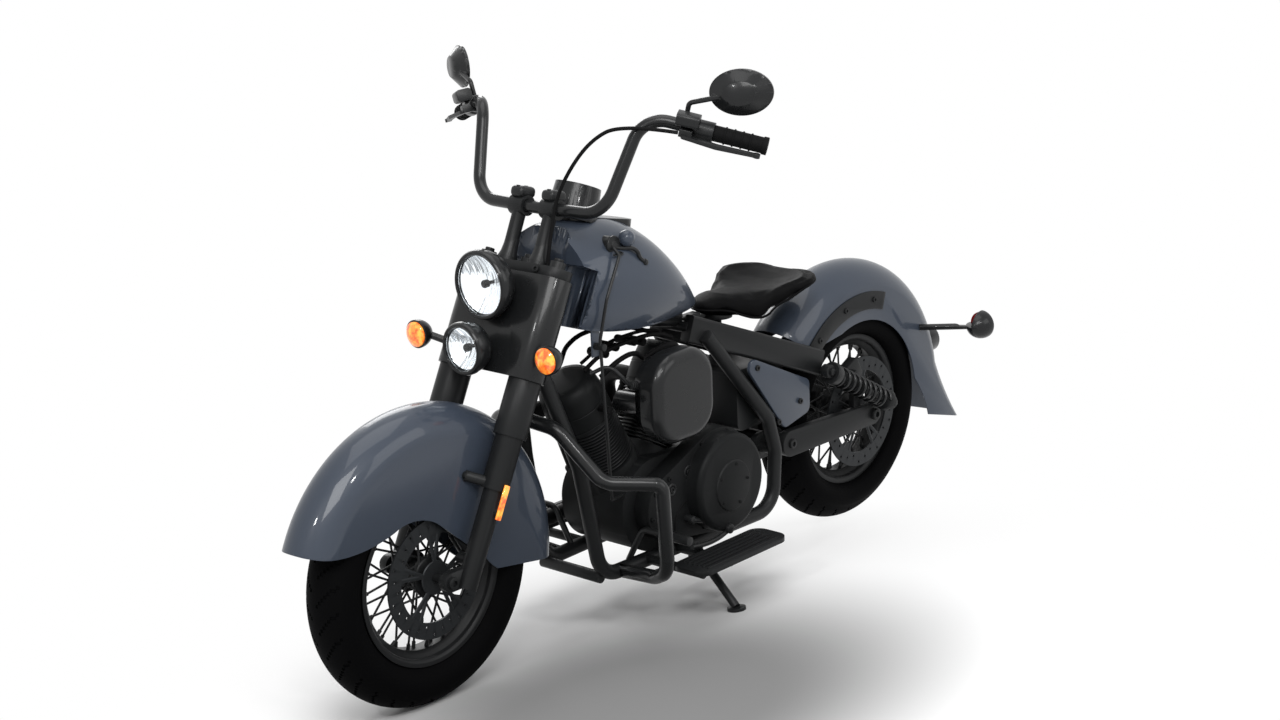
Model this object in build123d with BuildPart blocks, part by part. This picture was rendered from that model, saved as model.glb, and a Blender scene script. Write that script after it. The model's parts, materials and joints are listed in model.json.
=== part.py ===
# A blacked-out cruiser motorcycle: skirted front mudguard, two stacked headlamps,
# tall handlebar, V-twin engine, hand shift on the tank, solo saddle on a post, wire wheels.
# X points forwards, Y to the rider's left, Z up. Everything is drawn upright with the
# rear axle over X = 0 and the ground at Z = 0, then leaned onto the side stand.

from build123d import *
from math import asin, cos, radians, sin
import os

os.makedirs("parts", exist_ok=True)

# Driving dimensions of the whole machine, in millimetres and degrees
wheelbase = 1628
tyre_radius = 320
crown_radius = 70
rake = 27
axle_lead = 53
lean = 8
seat_gap = 0.3
overrun = 400

# Wheels
rim_seat_radius = 203
rim_flange = 13
rim_width = 92
rim_wall = 6
rim_well_depth = 17
rim_well_width = 44
front_tyre_width = 130
rear_tyre_width = 150
tread_share = 0.84
tyre_wall = 11
hub_barrel_radius = 27
spoke_flange_radius = 50
spoke_flange_width = 16
spoke_flange_offset = 32
spoke_circle = 41
spoke_count = 40
spoke_radius = 2.8
spoke_turn = 54
spoke_offset = 6
spoke_rim_offset = 6
axle_radius = 11
axle_gap = 0.4
boss_radius = 40

# Brake discs, pulley and belt
front_disc_radius = 147
front_disc_offset = 54
rear_disc_radius = 158
rear_disc_offset = 84
disc_thickness = 5
disc_track = 40
disc_arms = 5
disc_arm_width = 26
disc_hole_radius = 6
disc_hole_count = 10
caliper_gap = 1.2
caliper_depth = 62
caliper_length = 92
caliper_cheek = 11
front_caliper_angle = 149
rear_caliper_angle = 64
caliper_round = 12
caliper_ear_height = 36
caliper_ear_radius = 15
caliper_ear_turn = 22
hub_right_length = 44
pulley_radius = 92
pulley_offset = 91
pulley_width = 20
pulley_web = 8
pulley_holes = 5
pulley_hole_radius = 17
belt_thickness = 6
drive_pulley_radius = 44

# Front fork, measured along the leg from axle height
leg_spacing = 230
leg_radius = 25
leg_foot = 30
guard_clamp_start = 208
guard_clamp_radius = 33
guard_stud_reach = 66
guard_stud_radius = 13
sleeve_start = 236
sleeve_radius = 33.5
shroud_start = 337
shroud_radius = 40
lower_clamp_start = 487
lower_clamp_height = 33
upper_clamp_start = 720
upper_clamp_height = 24
clamp_radius = 39.5
cap_height = 18
cap_radius = 19
stem_setback = 25
stem_radius = 16
stem_boss_radius = 30
stem_nut_radius = 22
nacelle_start = 473
nacelle_radius = 46
nacelle_wall = 4
nacelle_gap = 0.3
axle_lug_radius = 23
axle_lug_width = 22
axle_lug_inset = 12
reflector_start = 142
reflector_length = 84
reflector_width = 17
reflector_depth = 7

# Steering limit, and the room round the fork and risers at full lock, which shape the tank
steer_limit = 30
fork_clearance = 12
riser_clearance = 6

# Lamps
upper_lamp_forward = 1384
upper_lamp_height = 959
upper_lamp_radius = 84
lower_lamp_forward = 1454
lower_lamp_height = 820
lower_lamp_radius = 64
bezel_width = 12
bezel_depth = 22
bucket_depth = 46
bucket_back_share = 0.42
lamp_wall = 4
lens_bulge = 9
lens_inset = 6
lens_sweep_share = 3.2
bucket_curve_share = 0.78
bowl_share = 0.86
signal_forward = 1392
signal_side = 217
signal_height = 812
signal_radius = 35
signal_depth = 46
signal_lens_depth = 15
signal_stem_radius = 9

# Handlebar, one side
bar_radius = 15
bar_forward = 1180
bar_height = 1110
bar_low_half = 208
bar_low_back = 13
bar_high_half = 262
bar_high_forward = 1076
bar_high_height = 1336
bar_end_half = 500
bar_end_forward = 925
bar_end_height = 1262
bar_low_bend = 78
bar_high_bend = 70
bar_middle_bend = 500
riser_half = 51
riser_radius = 17
riser_foot_radius = 24
riser_foot_height = 12
riser_head_length = 46
riser_head_radius = 25
grip_length = 122
grip_radius = 19
grip_end_radius = 21
grip_end_length = 12
grip_rings = 4
grip_ring_width = 4
switch_length = 46
switch_radius = 24
perch_length = 30
perch_radius = 21
lever_drop = 12
lever_forward = 52
lever_length = 172
lever_width = 17
lever_tip_width = 10
lever_tip_back = 8
lever_root_forward = 38
lever_knee_share = 0.45
reservoir_forward = 28
lever_thickness = 9
lever_ball_radius = 8.5
reservoir_length = 54
reservoir_width = 40
reservoir_height = 30
mirror_forward = 960
mirror_side = 462
mirror_height = 1388
mirror_length = 150
mirror_width = 108
mirror_depth = 26
mirror_rim = 7
mirror_back_share = 0.5
mirror_turn = 30
mirror_stem_radius = 6
mirror_stem_rise = 36

# Cable held between the left lever and the riser
cable_radius = 4.5
cable_seat = 1.5
cable_bends = [40, 60, 90, 90]

# Frame
head_radius = 33
head_margin = 6
backbone_radius = 27
backbone_rear_x = 690
backbone_rear_z = 735
backbone_head_z = 868
down_half = 92
down_top_half = 16
down_top_rise = 94
down_knee_x = 1168
down_knee_z = 470
cradle_front_x = 1116
cradle_rear_x = 455
cradle_z = 170
cradle_half = 100
cradle_bend = 70
rail_radius = 19
rail_top_x = 668
rail_top_half = 84
rail_top_z = 690
rail_knee_x = 470
rail_knee_half = 122
rail_knee_z = 428
rail_foot_x = 440
rail_foot_z = 330
rail_cross_radius = 15
saddle_rail_width = 34
saddle_rail_depth = 72
saddle_rail_round = 8
saddle_cross_x = 300
saddle_cross_z = 560
post_cross_z = 648
post_cross_half = 66
saddle_rail_front_x = 700
saddle_rail_front_half = 50
saddle_rail_front_z = 712
saddle_rail_rear_x = 236
saddle_rail_rear_half = 116
saddle_rail_rear_z = 524
pivot_x = 378
pivot_z = 331
pivot_radius = 18
pivot_plate_half = 74
pivot_plate_width = 14
pivot_plate_round = 36

# Swingarm
arm_half = 119
arm_width = 24
arm_depth = 72
arm_rear_depth = 60
arm_wall_round = 10

# Shock absorbers
shock_half = 162
shock_top_x = 254
shock_top_z = 510
shock_foot_x = -34
shock_foot_z = 352
shock_eye_radius = 19
shock_eye_width = 24
shock_bolt_radius = 8
shock_cap_radius = 31
shock_cap_length = 26
shock_cap_start = 14
shock_seat_length = 12
shock_neck_share = 0.6
shock_body_radius = 23.5
coil_radius = 26
coil_wire_radius = 4.5
coil_turns = 7
coil_wire_sides = 8
coil_margin = 2

# Engine
crank_x = 915
crank_z = 308
bank_angle = 29
case_radius = 122
case_left = 108
case_right = -100
timing_radius = 96
timing_depth = 26
gearbox_right = 70
gearbox_x = 655
gearbox_z = 322
gearbox_radius = 104
deck_distance = 144
deck_radius = 84
barrel_radius = 62
fin_radius = 80
fin_count = 10
fin_thickness = 5
head_distance = 284
head_height = 58
head_radius_share = 1.02
dome_height = 66
dome_round = 30
dome_taper = 8
face_cosine_share = 0.99
manifold_z = 560
manifold_radius = 30

# Primary drive cover
clutch_x = 722
clutch_z = 330
clutch_radius = 138
primary_front_x = 908
primary_front_radius = 88
primary_depth = 50
drum_depth = 48
drum_shrink = 8
drum_round = 16
derby_radius = 66
derby_depth = 5
derby_drop = 6

# Air cleaner
filter_x = 900
filter_z = 606
filter_width = 226
filter_height = 232
filter_near = 126
filter_far = 218
filter_round = 84
filter_edge = 26
filter_back_inset = 20
filter_back_depth = 34

# Exhaust on the right side
pipe_radius = 21
muffler_radius = 44
muffler_side = 190
muffler_front_x = 610
muffler_rear_x = -250
muffler_z = 236
muffler_rise = 22
muffler_taper = 90
muffler_mouth = 60
muffler_neck_share = 1.15
pipe_bend = 60
pipe_drop = 90
front_pipe_x = 1160
front_pipe_side = 153
pipe_sweep = 70
rear_pipe_x = 712
port_side_share = 0.8
port_ahead_share = 0.5
exhaust_wall = 3

# Front mudguard
guard_wall = 3.5
front_guard_radius = 406
front_guard_half = 74
front_guard_shoulder = 330
front_guard_front_angle = 23
front_guard_rear_angle = 189
front_skirt_radius = 92

# Rear mudguard
rear_guard_radius = 426
rear_guard_half = 90
rear_guard_shoulder = 356
rear_guard_front_angle = 43
rear_guard_side_radius = 262
rear_edge_turn = 1
tail_flare = 131
tail_edge_rise = 80
lower_edge_angle = 70
strut_inner_radius = 294
strut_outer_radius = 344
strut_thickness = 5
strut_front_angle = 43
strut_rear_angle = 109
tail_stalk_x = -286
tail_stalk_z = 503
tail_lamp_x = -330
tail_lamp_side = 236
tail_lamp_z = 512
tail_lamp_radius = 41
tail_lamp_depth = 58
tail_stem_radius = 9
brake_lamp_z = 420
brake_lamp_radius = 40
brake_lamp_depth = 34

# Fuel tank
tank_front_x = 1222
tank_rear_x = 636
tank_width = 336
tank_top_z = 1066
tank_base_z = 764
tank_nose_margin = 32
tunnel_margin = 7

# Speedometer housing on the tank
pod_x = 1028
pod_z = 1137
pod_tilt = 23
pod_rim_radius = 57
pod_foot_radius = 64
pod_length = 86
pod_wall = 5
pod_dial_inset = 16
console_front_x = 1100
console_rear_x = 862
console_width = 92
console_height = 26
console_z = 1052
console_tilt = 12

# Hand shift
knob_radius = 19
shift_lever_radius = 6
shift_rod_out = 176
shift_crank_x = 1068
shift_crank_side = 162
shift_crank_z = 990
shift_crank_bend = 14
shift_rod_mid_x = 1135
shift_rod_mid_z = 896
shift_head_width = 24
knob_x = 1016
knob_side = 140
knob_z = 1020
shift_pivot_x = 1056
shift_pivot_side = 104
shift_pivot_z = 1010
shift_plate_radius = 20
shift_rod_radius = 4
shift_clip_x = 1112
shift_clip_z = 792
shift_clip_ahead = 24
shift_bend = 40
shift_foot_drop = 20
shift_foot_x = 1118
shift_foot_side = 150
shift_foot_z = 385

# Saddle
saddle_front_x = 604
saddle_rear_x = 222
saddle_width = 300
saddle_nose_width = 92
saddle_z = 716
saddle_back_z = 816
saddle_nose_z = 772
saddle_dip_z = 752
saddle_low_z = 704
saddle_back_low_z = 738
saddle_hip_radius = 88
saddle_hip_half = 60
saddle_thickness = 34
saddle_margin = 6
post_x = 522
post_radius = 13
post_plate_radius = 42
post_plate_drop = 6
seat_strap_length = 107

# Crash bars
guard_bar_radius = 18
guard_bar_centre_x = 1276
guard_bar_centre_z = 612
guard_bar_shoulder_x = 1246
guard_bar_shoulder_half = 96
guard_bar_shoulder_z = 590
guard_bar_knee_x = 1205
guard_bar_knee_half = 205
guard_bar_knee_z = 462
guard_bar_elbow_x = 1106
guard_bar_elbow_half = 305
guard_bar_elbow_z = 452
guard_bar_low_x = 1096
guard_bar_low_z = 224
guard_bar_foot_x = 1066
guard_bar_foot_half = 236
guard_bar_foot_z = 186
guard_bar_end_x = 1048
guard_bar_bend = 62
guard_bar_elbow_bend = 24

# Footboards
board_front_x = 1000
board_rear_x = 655
board_inner = 226
board_outer = 336
board_z = 196
board_thickness = 12
board_round = 34
board_arm_x = (850, 958)
board_arm_radius = 12
board_arm_bite = 3
board_arm_start = 110
board_rib_count = 6
board_rib_height = 4
board_rib_width = 9

# Pedal and shifter ahead of the footboards
pedal_x = 1012
pedal_foot_z = 186
pedal_high_z = 278
pedal_half = 152
pedal_arm_half = 240
pedal_end_half = 306
pedal_radius = 8
pedal_bend = 30
peg_radius = 12

# Side covers
cover_half = 128
cover_thickness = 12
cover_front_x = 594
cover_front_z = 634
cover_rear_x = 290
cover_rear_top_z = 490
cover_rear_low_z = 402
cover_low_x = 402
cover_low_z = 379
cover_round = 22
cover_lug_radius = 12

# Battery box
box_front_x = 548
box_rear_x = 352
box_base_z = 398
box_top_z = 566
box_half = 84

# Side stand
stand_pivot_x = 806
stand_pivot_side = 148
stand_pivot_z = 158
stand_foot_side = 304
stand_foot_x = 838
stand_leg_radius = 11
stand_eye_radius = 14
stand_eye_width = 26
stand_pin_radius = 6
stand_pin_gap = 0.4
stand_boss_width = 12
stand_clearance = 2
stand_arm_radius = 10
stand_folded = (-0.99, 0.12, 0.06)
stand_pad_radius = 24
stand_pad_thickness = 8

# Directions and planes that the pieces share
rake_sin = sin(radians(rake))
rake_cos = cos(radians(rake))
half_legs = leg_spacing / 2
clamp_top = upper_clamp_start + upper_clamp_height
front_axle = Vector(wheelbase, 0, tyre_radius)
rear_axle = Vector(0, 0, tyre_radius)
FORK = Plane(
    origin=(wheelbase - axle_lead, 0, tyre_radius),
    x_dir=(rake_cos, 0, rake_sin),
    z_dir=(-rake_sin, 0, rake_cos),
)


def on_fork(forward, side, height):
    """A point given along the fork's own directions."""
    return FORK.from_local_coords(Vector(forward, side, height))


def side_plane(side):
    """The upright plane facing the rider's right, at this distance to the left."""
    return Plane.XZ.offset(-side)


def side_plane_at(axle, side):
    """The same upright plane, with its origin on an axle's line."""
    return Plane(origin=(axle.X, side, axle.Z), x_dir=(1, 0, 0), z_dir=(0, -1, 0))


def round_section(start, towards, radius):
    """A disc at the start, square to the way towards the other point."""
    with BuildSketch(Plane(origin=start, z_dir=Vector(towards) - Vector(start))) as section:
        Circle(radius)
    return section.sketch


def add_rod(start, end, radius, mode=Mode.ADD):
    """A straight round rod between two points."""
    extrude(round_section(start, end, radius), amount=(Vector(end) - Vector(start)).length, mode=mode)


def add_tube(points, bends, radius, mode=Mode.ADD):
    """A round tube along straight runs joined by arcs."""
    with BuildLine() as route:
        FilletPolyline(*points, radius=bends)
    sweep(round_section(points[0], points[1], radius), path=route.line, mode=mode)


def add_link(first, first_radius, second, second_radius, side, thickness, mode=Mode.ADD):
    """A plate round two bosses in side view, from its outer face inwards."""
    with BuildSketch(side_plane(side)) as outline:
        with Locations(first):
            Circle(first_radius)
        with Locations(second):
            Circle(second_radius)
        make_hull()
    extrude(outline.sketch, amount=thickness, mode=mode)


def add_ring(plane, outer, inner, height, mode=Mode.ADD):
    """A ring standing on a plane."""
    with BuildSketch(plane) as ring:
        Circle(outer)
        Circle(inner, mode=Mode.SUBTRACT)
    extrude(ring.sketch, amount=height, mode=mode)


def turned(axle, radius, angle):
    """A point in side view at this radius and angle about an axle."""
    return (axle.X + radius * cos(radians(angle)), axle.Z + radius * sin(radians(angle)))


# Wheels: tyre, rim with hub and laced spokes, brake disc
def make_tyre(axle, width, name):
    """A tyre whose tread is one crown arc, with rounded side walls down to the beads."""
    half = width / 2
    tread_angle = asin(tread_share * half / crown_radius)
    tread_half = tread_share * half
    tread_reach = tyre_radius - crown_radius * (1 - cos(tread_angle))
    wall_reach = (tyre_radius + rim_seat_radius) / 2
    bead_reach = rim_seat_radius + seat_gap
    flange_reach = rim_seat_radius + rim_flange + seat_gap
    bead_half = rim_width / 2 - rim_wall - seat_gap
    bead_inner = bead_half - tyre_wall
    with BuildPart() as tyre:
        with BuildSketch(Plane(axle)):
            with BuildLine():
                ThreePointArc((tread_reach, -tread_half), (tyre_radius, 0), (tread_reach, tread_half))
                ThreePointArc((tread_reach, tread_half), (wall_reach, half), (flange_reach, bead_half))
                Polyline((flange_reach, bead_half), (bead_reach, bead_half), (bead_reach, bead_inner))
                Line((bead_reach, bead_inner), (wall_reach, half - tyre_wall))
                Line((wall_reach, half - tyre_wall), (tread_reach - tyre_wall, 0))
                Line((tread_reach - tyre_wall, 0), (wall_reach, tyre_wall - half))
                Line((wall_reach, tyre_wall - half), (bead_reach, -bead_inner))
                Polyline((bead_reach, -bead_inner), (bead_reach, -bead_half), (flange_reach, -bead_half))
                ThreePointArc((flange_reach, -bead_half), (wall_reach, -half), (tread_reach, -tread_half))
            make_face()
        revolve(axis=Axis(axle, (0, 1, 0)))
    tyre.part.label = name
    return tyre


def make_wheel(axle, left_seat, right_seat, name):
    """Rim, hub and crossed spokes as one piece, with a seat on each side of the hub."""
    well_radius = rim_seat_radius - rim_well_depth
    flange_reach = rim_seat_radius + rim_flange
    well_half = rim_well_width / 2
    edge_half = rim_width / 2
    flange_half = spoke_flange_width / 2
    share_turn = 360 / spoke_count
    with BuildPart() as wheel:
        with BuildSketch(Plane(axle)):
            with BuildLine():
                Polyline(
                    (flange_reach, -edge_half),
                    (flange_reach, rim_wall - edge_half),
                    (rim_seat_radius, rim_wall - edge_half),
                    (rim_seat_radius, -well_half - rim_wall),
                    (well_radius, -well_half),
                    (well_radius, well_half),
                    (rim_seat_radius, well_half + rim_wall),
                    (rim_seat_radius, edge_half - rim_wall),
                    (flange_reach, edge_half - rim_wall),
                    (flange_reach, edge_half),
                    (rim_seat_radius - rim_wall, edge_half),
                    (rim_seat_radius - rim_wall, well_half + rim_wall),
                    (well_radius - rim_wall, well_half),
                    (well_radius - rim_wall, -well_half),
                    (rim_seat_radius - rim_wall, -well_half - rim_wall),
                    (rim_seat_radius - rim_wall, -edge_half),
                    close=True,
                )
            make_face()
        revolve(axis=Axis(axle, (0, 1, 0)))
        add_ring(
            side_plane_at(axle, left_seat), hub_barrel_radius, axle_radius + axle_gap, left_seat + right_seat
        )
        for side in (1, -1):
            for hand in (1, -1):
                for step in range(spoke_count // 4):
                    foot_angle = (4 * step + (1 - side) / 2 + (1 - hand)) * share_turn
                    rim_angle = foot_angle + hand * spoke_turn
                    foot_side = side * (spoke_flange_offset + hand * spoke_offset)
                    foot = Vector(*turned(axle, spoke_circle, foot_angle))
                    rim = Vector(*turned(axle, well_radius - rim_wall / 2, rim_angle))
                    add_rod(
                        (foot.X, foot_side, foot.Y),
                        (rim.X, side * spoke_rim_offset, rim.Y),
                        spoke_radius,
                    )
        for side in (1, -1):
            flange_face = side * spoke_flange_offset + flange_half
            add_ring(
                side_plane_at(axle, flange_face),
                spoke_flange_radius,
                axle_radius + axle_gap,
                spoke_flange_width,
            )
    wheel.part.label = name
    return wheel


def make_disc(axle, offset, radius, inner, seat_radius, name):
    """A drilled brake disc on its spider, bolted to the hub's seat."""
    face = offset + disc_thickness / 2
    track_radius = radius - disc_track
    with BuildPart() as disc:
        add_ring(side_plane_at(axle, face), radius, track_radius, disc_thickness)
        add_ring(side_plane_at(axle, face), seat_radius, inner, disc_thickness)
        with BuildSketch(side_plane_at(axle, face)):
            with PolarLocations((seat_radius + track_radius) / 2, disc_arms):
                Rectangle(track_radius - seat_radius + disc_arm_width / 2, disc_arm_width)
        extrude(amount=disc_thickness)
        with BuildSketch(side_plane_at(axle, face)):
            with PolarLocations(radius - disc_track / 2, disc_hole_count):
                Circle(disc_hole_radius)
        extrude(amount=disc_thickness, mode=Mode.SUBTRACT)
    disc.part.label = name
    return disc


def make_caliper(axle, offset, radius, angle, name):
    """A brake caliper astride its disc, with a bridge outside the disc's edge."""
    inner_reach = radius - disc_track - disc_arm_width / 2
    outer_reach = inner_reach + caliper_depth
    half_gap = disc_thickness / 2 + caliper_gap
    width = 2 * (half_gap + caliper_cheek)
    middle = (inner_reach + outer_reach) / 2
    spot = turned(axle, middle, angle)
    body_plane = Plane(
        origin=(spot[0], offset + width / 2, spot[1]),
        x_dir=(cos(radians(angle)), 0, sin(radians(angle))),
        z_dir=(0, -1, 0),
    )
    with BuildPart() as caliper:
        with BuildSketch(body_plane):
            RectangleRounded(caliper_depth, caliper_length, caliper_round)
        extrude(amount=width)
        add_ring(
            side_plane_at(axle, offset + half_gap),
            radius + caliper_gap,
            axle_radius,
            2 * half_gap,
            Mode.SUBTRACT,
        )
    caliper.part.label = name
    return caliper


front_tyre = make_tyre(front_axle, front_tyre_width, "front_tyre")
rear_tyre = make_tyre(rear_axle, rear_tyre_width, "rear_tyre")
front_wheel = make_wheel(
    front_axle,
    front_disc_offset - disc_thickness / 2 - seat_gap,
    hub_right_length,
    "front_rim",
)
plain_rear_wheel = make_wheel(
    rear_axle,
    rear_disc_offset - disc_thickness / 2 - seat_gap,
    pulley_offset,
    "rear_rim",
)
with BuildPart() as rear_wheel:
    add(plain_rear_wheel.part)
    web_face = pulley_web / 2 - pulley_offset
    add_ring(side_plane_at(rear_axle, web_face), pulley_radius - rim_wall, axle_radius + axle_gap, pulley_web)
    add_ring(
        side_plane_at(rear_axle, pulley_width / 2 - pulley_offset),
        pulley_radius,
        pulley_radius - rim_wall,
        pulley_width,
    )
    with BuildSketch(side_plane_at(rear_axle, web_face)):
        with PolarLocations((pulley_radius + boss_radius - rim_wall) / 2, pulley_holes):
            Circle(pulley_hole_radius)
    extrude(amount=pulley_web, mode=Mode.SUBTRACT)
rear_wheel.part.label = "rear_rim"
front_disc = make_disc(
    front_axle, front_disc_offset, front_disc_radius, axle_radius + axle_gap, boss_radius, "front_disc"
)
rear_disc = make_disc(
    rear_axle, rear_disc_offset, rear_disc_radius, axle_radius + axle_gap, boss_radius, "rear_disc"
)
front_caliper = make_caliper(
    front_axle, front_disc_offset, front_disc_radius, front_caliper_angle, "front_caliper"
)
rear_caliper = make_caliper(
    rear_axle, rear_disc_offset, rear_disc_radius, rear_caliper_angle, "rear_caliper"
)

# Drive belt from the gearbox pulley to the wheel, on the right
with BuildPart() as drive_belt:
    belt_face = -pulley_offset + pulley_width / 2
    with BuildSketch(side_plane(belt_face)):
        with Locations((0, tyre_radius)):
            Circle(pulley_radius + seat_gap + belt_thickness)
        with Locations((gearbox_x, gearbox_z)):
            Circle(drive_pulley_radius + seat_gap + belt_thickness)
        make_hull()
    extrude(amount=pulley_width)
    with BuildSketch(side_plane(belt_face)):
        with Locations((0, tyre_radius)):
            Circle(pulley_radius + seat_gap)
        with Locations((gearbox_x, gearbox_z)):
            Circle(drive_pulley_radius + seat_gap)
        make_hull()
    extrude(amount=pulley_width, mode=Mode.SUBTRACT)
drive_belt.part.label = "drive_belt"

# Fork: legs, covers and lamps
with BuildPart() as fork_legs:
    guard_face = front_guard_half + seat_gap
    for side in (1, -1):
        leg_side = side * half_legs
        for low, high, radius in (
            (-leg_foot, guard_clamp_start, leg_radius),
            (guard_clamp_start, sleeve_start, guard_clamp_radius),
            (sleeve_start, shroud_start, sleeve_radius),
            (shroud_start, lower_clamp_start, shroud_radius),
            (lower_clamp_start, clamp_top, leg_radius),
            (clamp_top, clamp_top + cap_height, cap_radius),
        ):
            add_rod(on_fork(0, leg_side, low), on_fork(0, leg_side, high), radius)
        stud_height = (guard_clamp_start + sleeve_start) / 2
        add_rod(
            on_fork(0, leg_side, stud_height),
            on_fork(guard_stud_reach, side * front_guard_half, stud_height),
            guard_stud_radius,
        )
        add_rod(
            on_fork(0, leg_side, reflector_start + reflector_width),
            on_fork(0, leg_side + side * guard_clamp_radius, reflector_start + reflector_width),
            reflector_width / 2,
        )
        lug_outer = half_legs - leg_radius + axle_lug_width
        add_link(
            (FORK.origin.X, FORK.origin.Z),
            axle_lug_radius,
            (front_axle.X, front_axle.Z),
            axle_lug_radius,
            lug_outer if side > 0 else axle_lug_width - lug_outer,
            axle_lug_width,
        )
    with BuildSketch(side_plane(guard_face)):
        with Locations((front_axle.X, front_axle.Z + front_guard_radius)):
            Rectangle(overrun, overrun)
    extrude(amount=2 * guard_face, mode=Mode.SUBTRACT)
    ear_top = on_fork(0, 0, caliper_ear_height)
    ear_low = turned(front_axle, front_disc_radius - disc_track, front_caliper_angle + caliper_ear_turn)
    ear_outer = half_legs - leg_radius + axle_lug_inset
    caliper_face = front_disc_offset + disc_thickness / 2 + caliper_gap + caliper_cheek + seat_gap
    add_link(
        (ear_top.X, ear_top.Z),
        caliper_ear_radius,
        ear_low,
        caliper_ear_radius,
        ear_outer,
        ear_outer - caliper_face,
    )
    axle_half = half_legs - leg_radius + axle_lug_width
    add_rod((front_axle.X, -axle_half, front_axle.Z), (front_axle.X, axle_half, front_axle.Z), axle_radius)
fork_legs.part.label = "fork_legs"

lamp_places = (
    (upper_lamp_forward, upper_lamp_height, upper_lamp_radius),
    (lower_lamp_forward, lower_lamp_height, lower_lamp_radius),
)


def add_bucket(forward, height, radius, grow, mode=Mode.ADD):
    """A lamp's bowl behind its bezel, turned about its own axis."""
    rim_x = forward - bezel_depth
    back_x = rim_x - bucket_depth - grow
    with BuildSketch(Plane.XZ) as bowl:
        with BuildLine():
            Polyline(
                (forward, height),
                (forward, height + radius + grow),
                (rim_x, height + radius + grow),
                (
                    rim_x - bucket_depth * bucket_curve_share,
                    height + radius * bucket_curve_share + grow,
                ),
                (back_x, height + radius * bucket_back_share + grow),
                (back_x, height),
                close=True,
            )
        make_face()
    revolve(bowl.sketch, axis=Axis((forward, 0, height), (1, 0, 0)), mode=mode)


with BuildPart() as fork_covers:
    with BuildSketch(FORK.offset(nacelle_start)):
        with Locations((0, half_legs), (0, -half_legs)):
            Circle(nacelle_radius)
        with Locations((nacelle_radius / 2, 0)):
            Rectangle(nacelle_radius, leg_spacing)
        with Locations((0, half_legs), (0, -half_legs)):
            Circle(nacelle_radius - nacelle_wall, mode=Mode.SUBTRACT)
        with Locations((-nacelle_wall / 2, 0)):
            Rectangle(2 * nacelle_radius - nacelle_wall, leg_spacing, mode=Mode.SUBTRACT)
    extrude(amount=upper_clamp_start - nacelle_gap - nacelle_start)
    for forward, height, radius in lamp_places:
        add_bucket(forward, height, radius, seat_gap, Mode.SUBTRACT)
fork_covers.part.label = "fork_covers"

with BuildPart() as headlamps:
    for forward, height, radius in lamp_places:
        add_bucket(forward, height, radius, 0)
        add_bucket(forward + lamp_wall, height, radius - bezel_width, 0, Mode.SUBTRACT)
headlamps.part.label = "headlamps"

with BuildPart() as lamp_lenses:
    for forward, height, radius in lamp_places:
        lens_radius = radius - bezel_width - seat_gap
        lens_back_x = forward - lens_inset - lamp_wall
        with BuildSketch(Plane.XZ) as glass:
            with BuildLine():
                lens_front = (forward - lens_inset + lens_bulge, height)
                lens_edge = (forward - lens_inset, height + lens_radius)
                RadiusArc(lens_front, lens_edge, -lens_radius * lens_sweep_share)
                Line(lens_edge, (lens_back_x, height + lens_radius))
                Line((lens_back_x, height + lens_radius), (lens_back_x, height))
                Line((lens_back_x, height), lens_front)
            make_face()
        revolve(glass.sketch, axis=Axis((forward, 0, height), (1, 0, 0)))
lamp_lenses.part.label = "lamp_lenses"

with BuildPart() as front_signals:
    for side in (1, -1):
        with BuildSketch(Plane.XZ.offset(-side * signal_side)) as bowl:
            with BuildLine():
                bowl_back = signal_forward - signal_depth
                Line((bowl_back, signal_height), (signal_forward, signal_height))
                Line((signal_forward, signal_height), (signal_forward, signal_height + signal_radius))
                ThreePointArc(
                    (signal_forward, signal_height + signal_radius),
                    (signal_forward - signal_depth / 2, signal_height + signal_radius * bowl_share),
                    (bowl_back, signal_height),
                )
            make_face()
        revolve(bowl.sketch, axis=Axis((signal_forward, side * signal_side, signal_height), (1, 0, 0)))
        mount_height = FORK.to_local_coords(Vector(signal_forward, 0, signal_height)).Z
        add_rod(
            on_fork(0, side * half_legs, mount_height),
            (signal_forward - signal_depth / 2, side * signal_side, signal_height),
            signal_stem_radius,
        )
        add_rod(
            on_fork(0, side * half_legs, nacelle_start),
            on_fork(0, side * half_legs, upper_clamp_start),
            nacelle_radius + seat_gap,
            Mode.SUBTRACT,
        )
front_signals.part.label = "front_signals"

with BuildPart() as amber_lenses:
    for side in (1, -1):
        add_rod(
            (signal_forward + seat_gap, side * signal_side, signal_height),
            (signal_forward + seat_gap + signal_lens_depth, side * signal_side, signal_height),
            signal_radius - lamp_wall,
        )
        strip_face = half_legs + guard_clamp_radius + seat_gap + reflector_depth
        with BuildSketch(
            Plane(
                origin=on_fork(0, side * strip_face, reflector_start + reflector_length / 2),
                x_dir=FORK.z_dir,
                z_dir=(0, side, 0),
            )
        ):
            SlotOverall(reflector_length, reflector_width)
        extrude(amount=-reflector_depth)
amber_lenses.part.label = "amber_lenses"

# Handlebar, risers, grips, hand controls, mirrors and the cable
bar_end = Vector(bar_end_forward, bar_end_half, bar_end_height)
bar_high = Vector(bar_high_forward, bar_high_half, bar_high_height)
bar_low = Vector(bar_forward - bar_low_back, bar_low_half, bar_height)
bar_run = (bar_high - bar_end).normalized()
bar_ahead = (Vector(1, 0, 0) - bar_run * bar_run.X).normalized()
HAND = Plane(origin=bar_end, x_dir=bar_ahead, z_dir=bar_run)


def opposite(point):
    """The same point on the rider's right."""
    return Vector(point.X, -point.Y, point.Z)


with BuildPart() as handlebar:
    add_tube(
        [
            bar_end,
            bar_high,
            bar_low,
            Vector(bar_forward, 0, bar_height),
            opposite(bar_low),
            opposite(bar_high),
            opposite(bar_end),
        ],
        [bar_high_bend, bar_low_bend, bar_middle_bend, bar_low_bend, bar_high_bend],
        bar_radius,
    )
handlebar.part.label = "handlebar"

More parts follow.
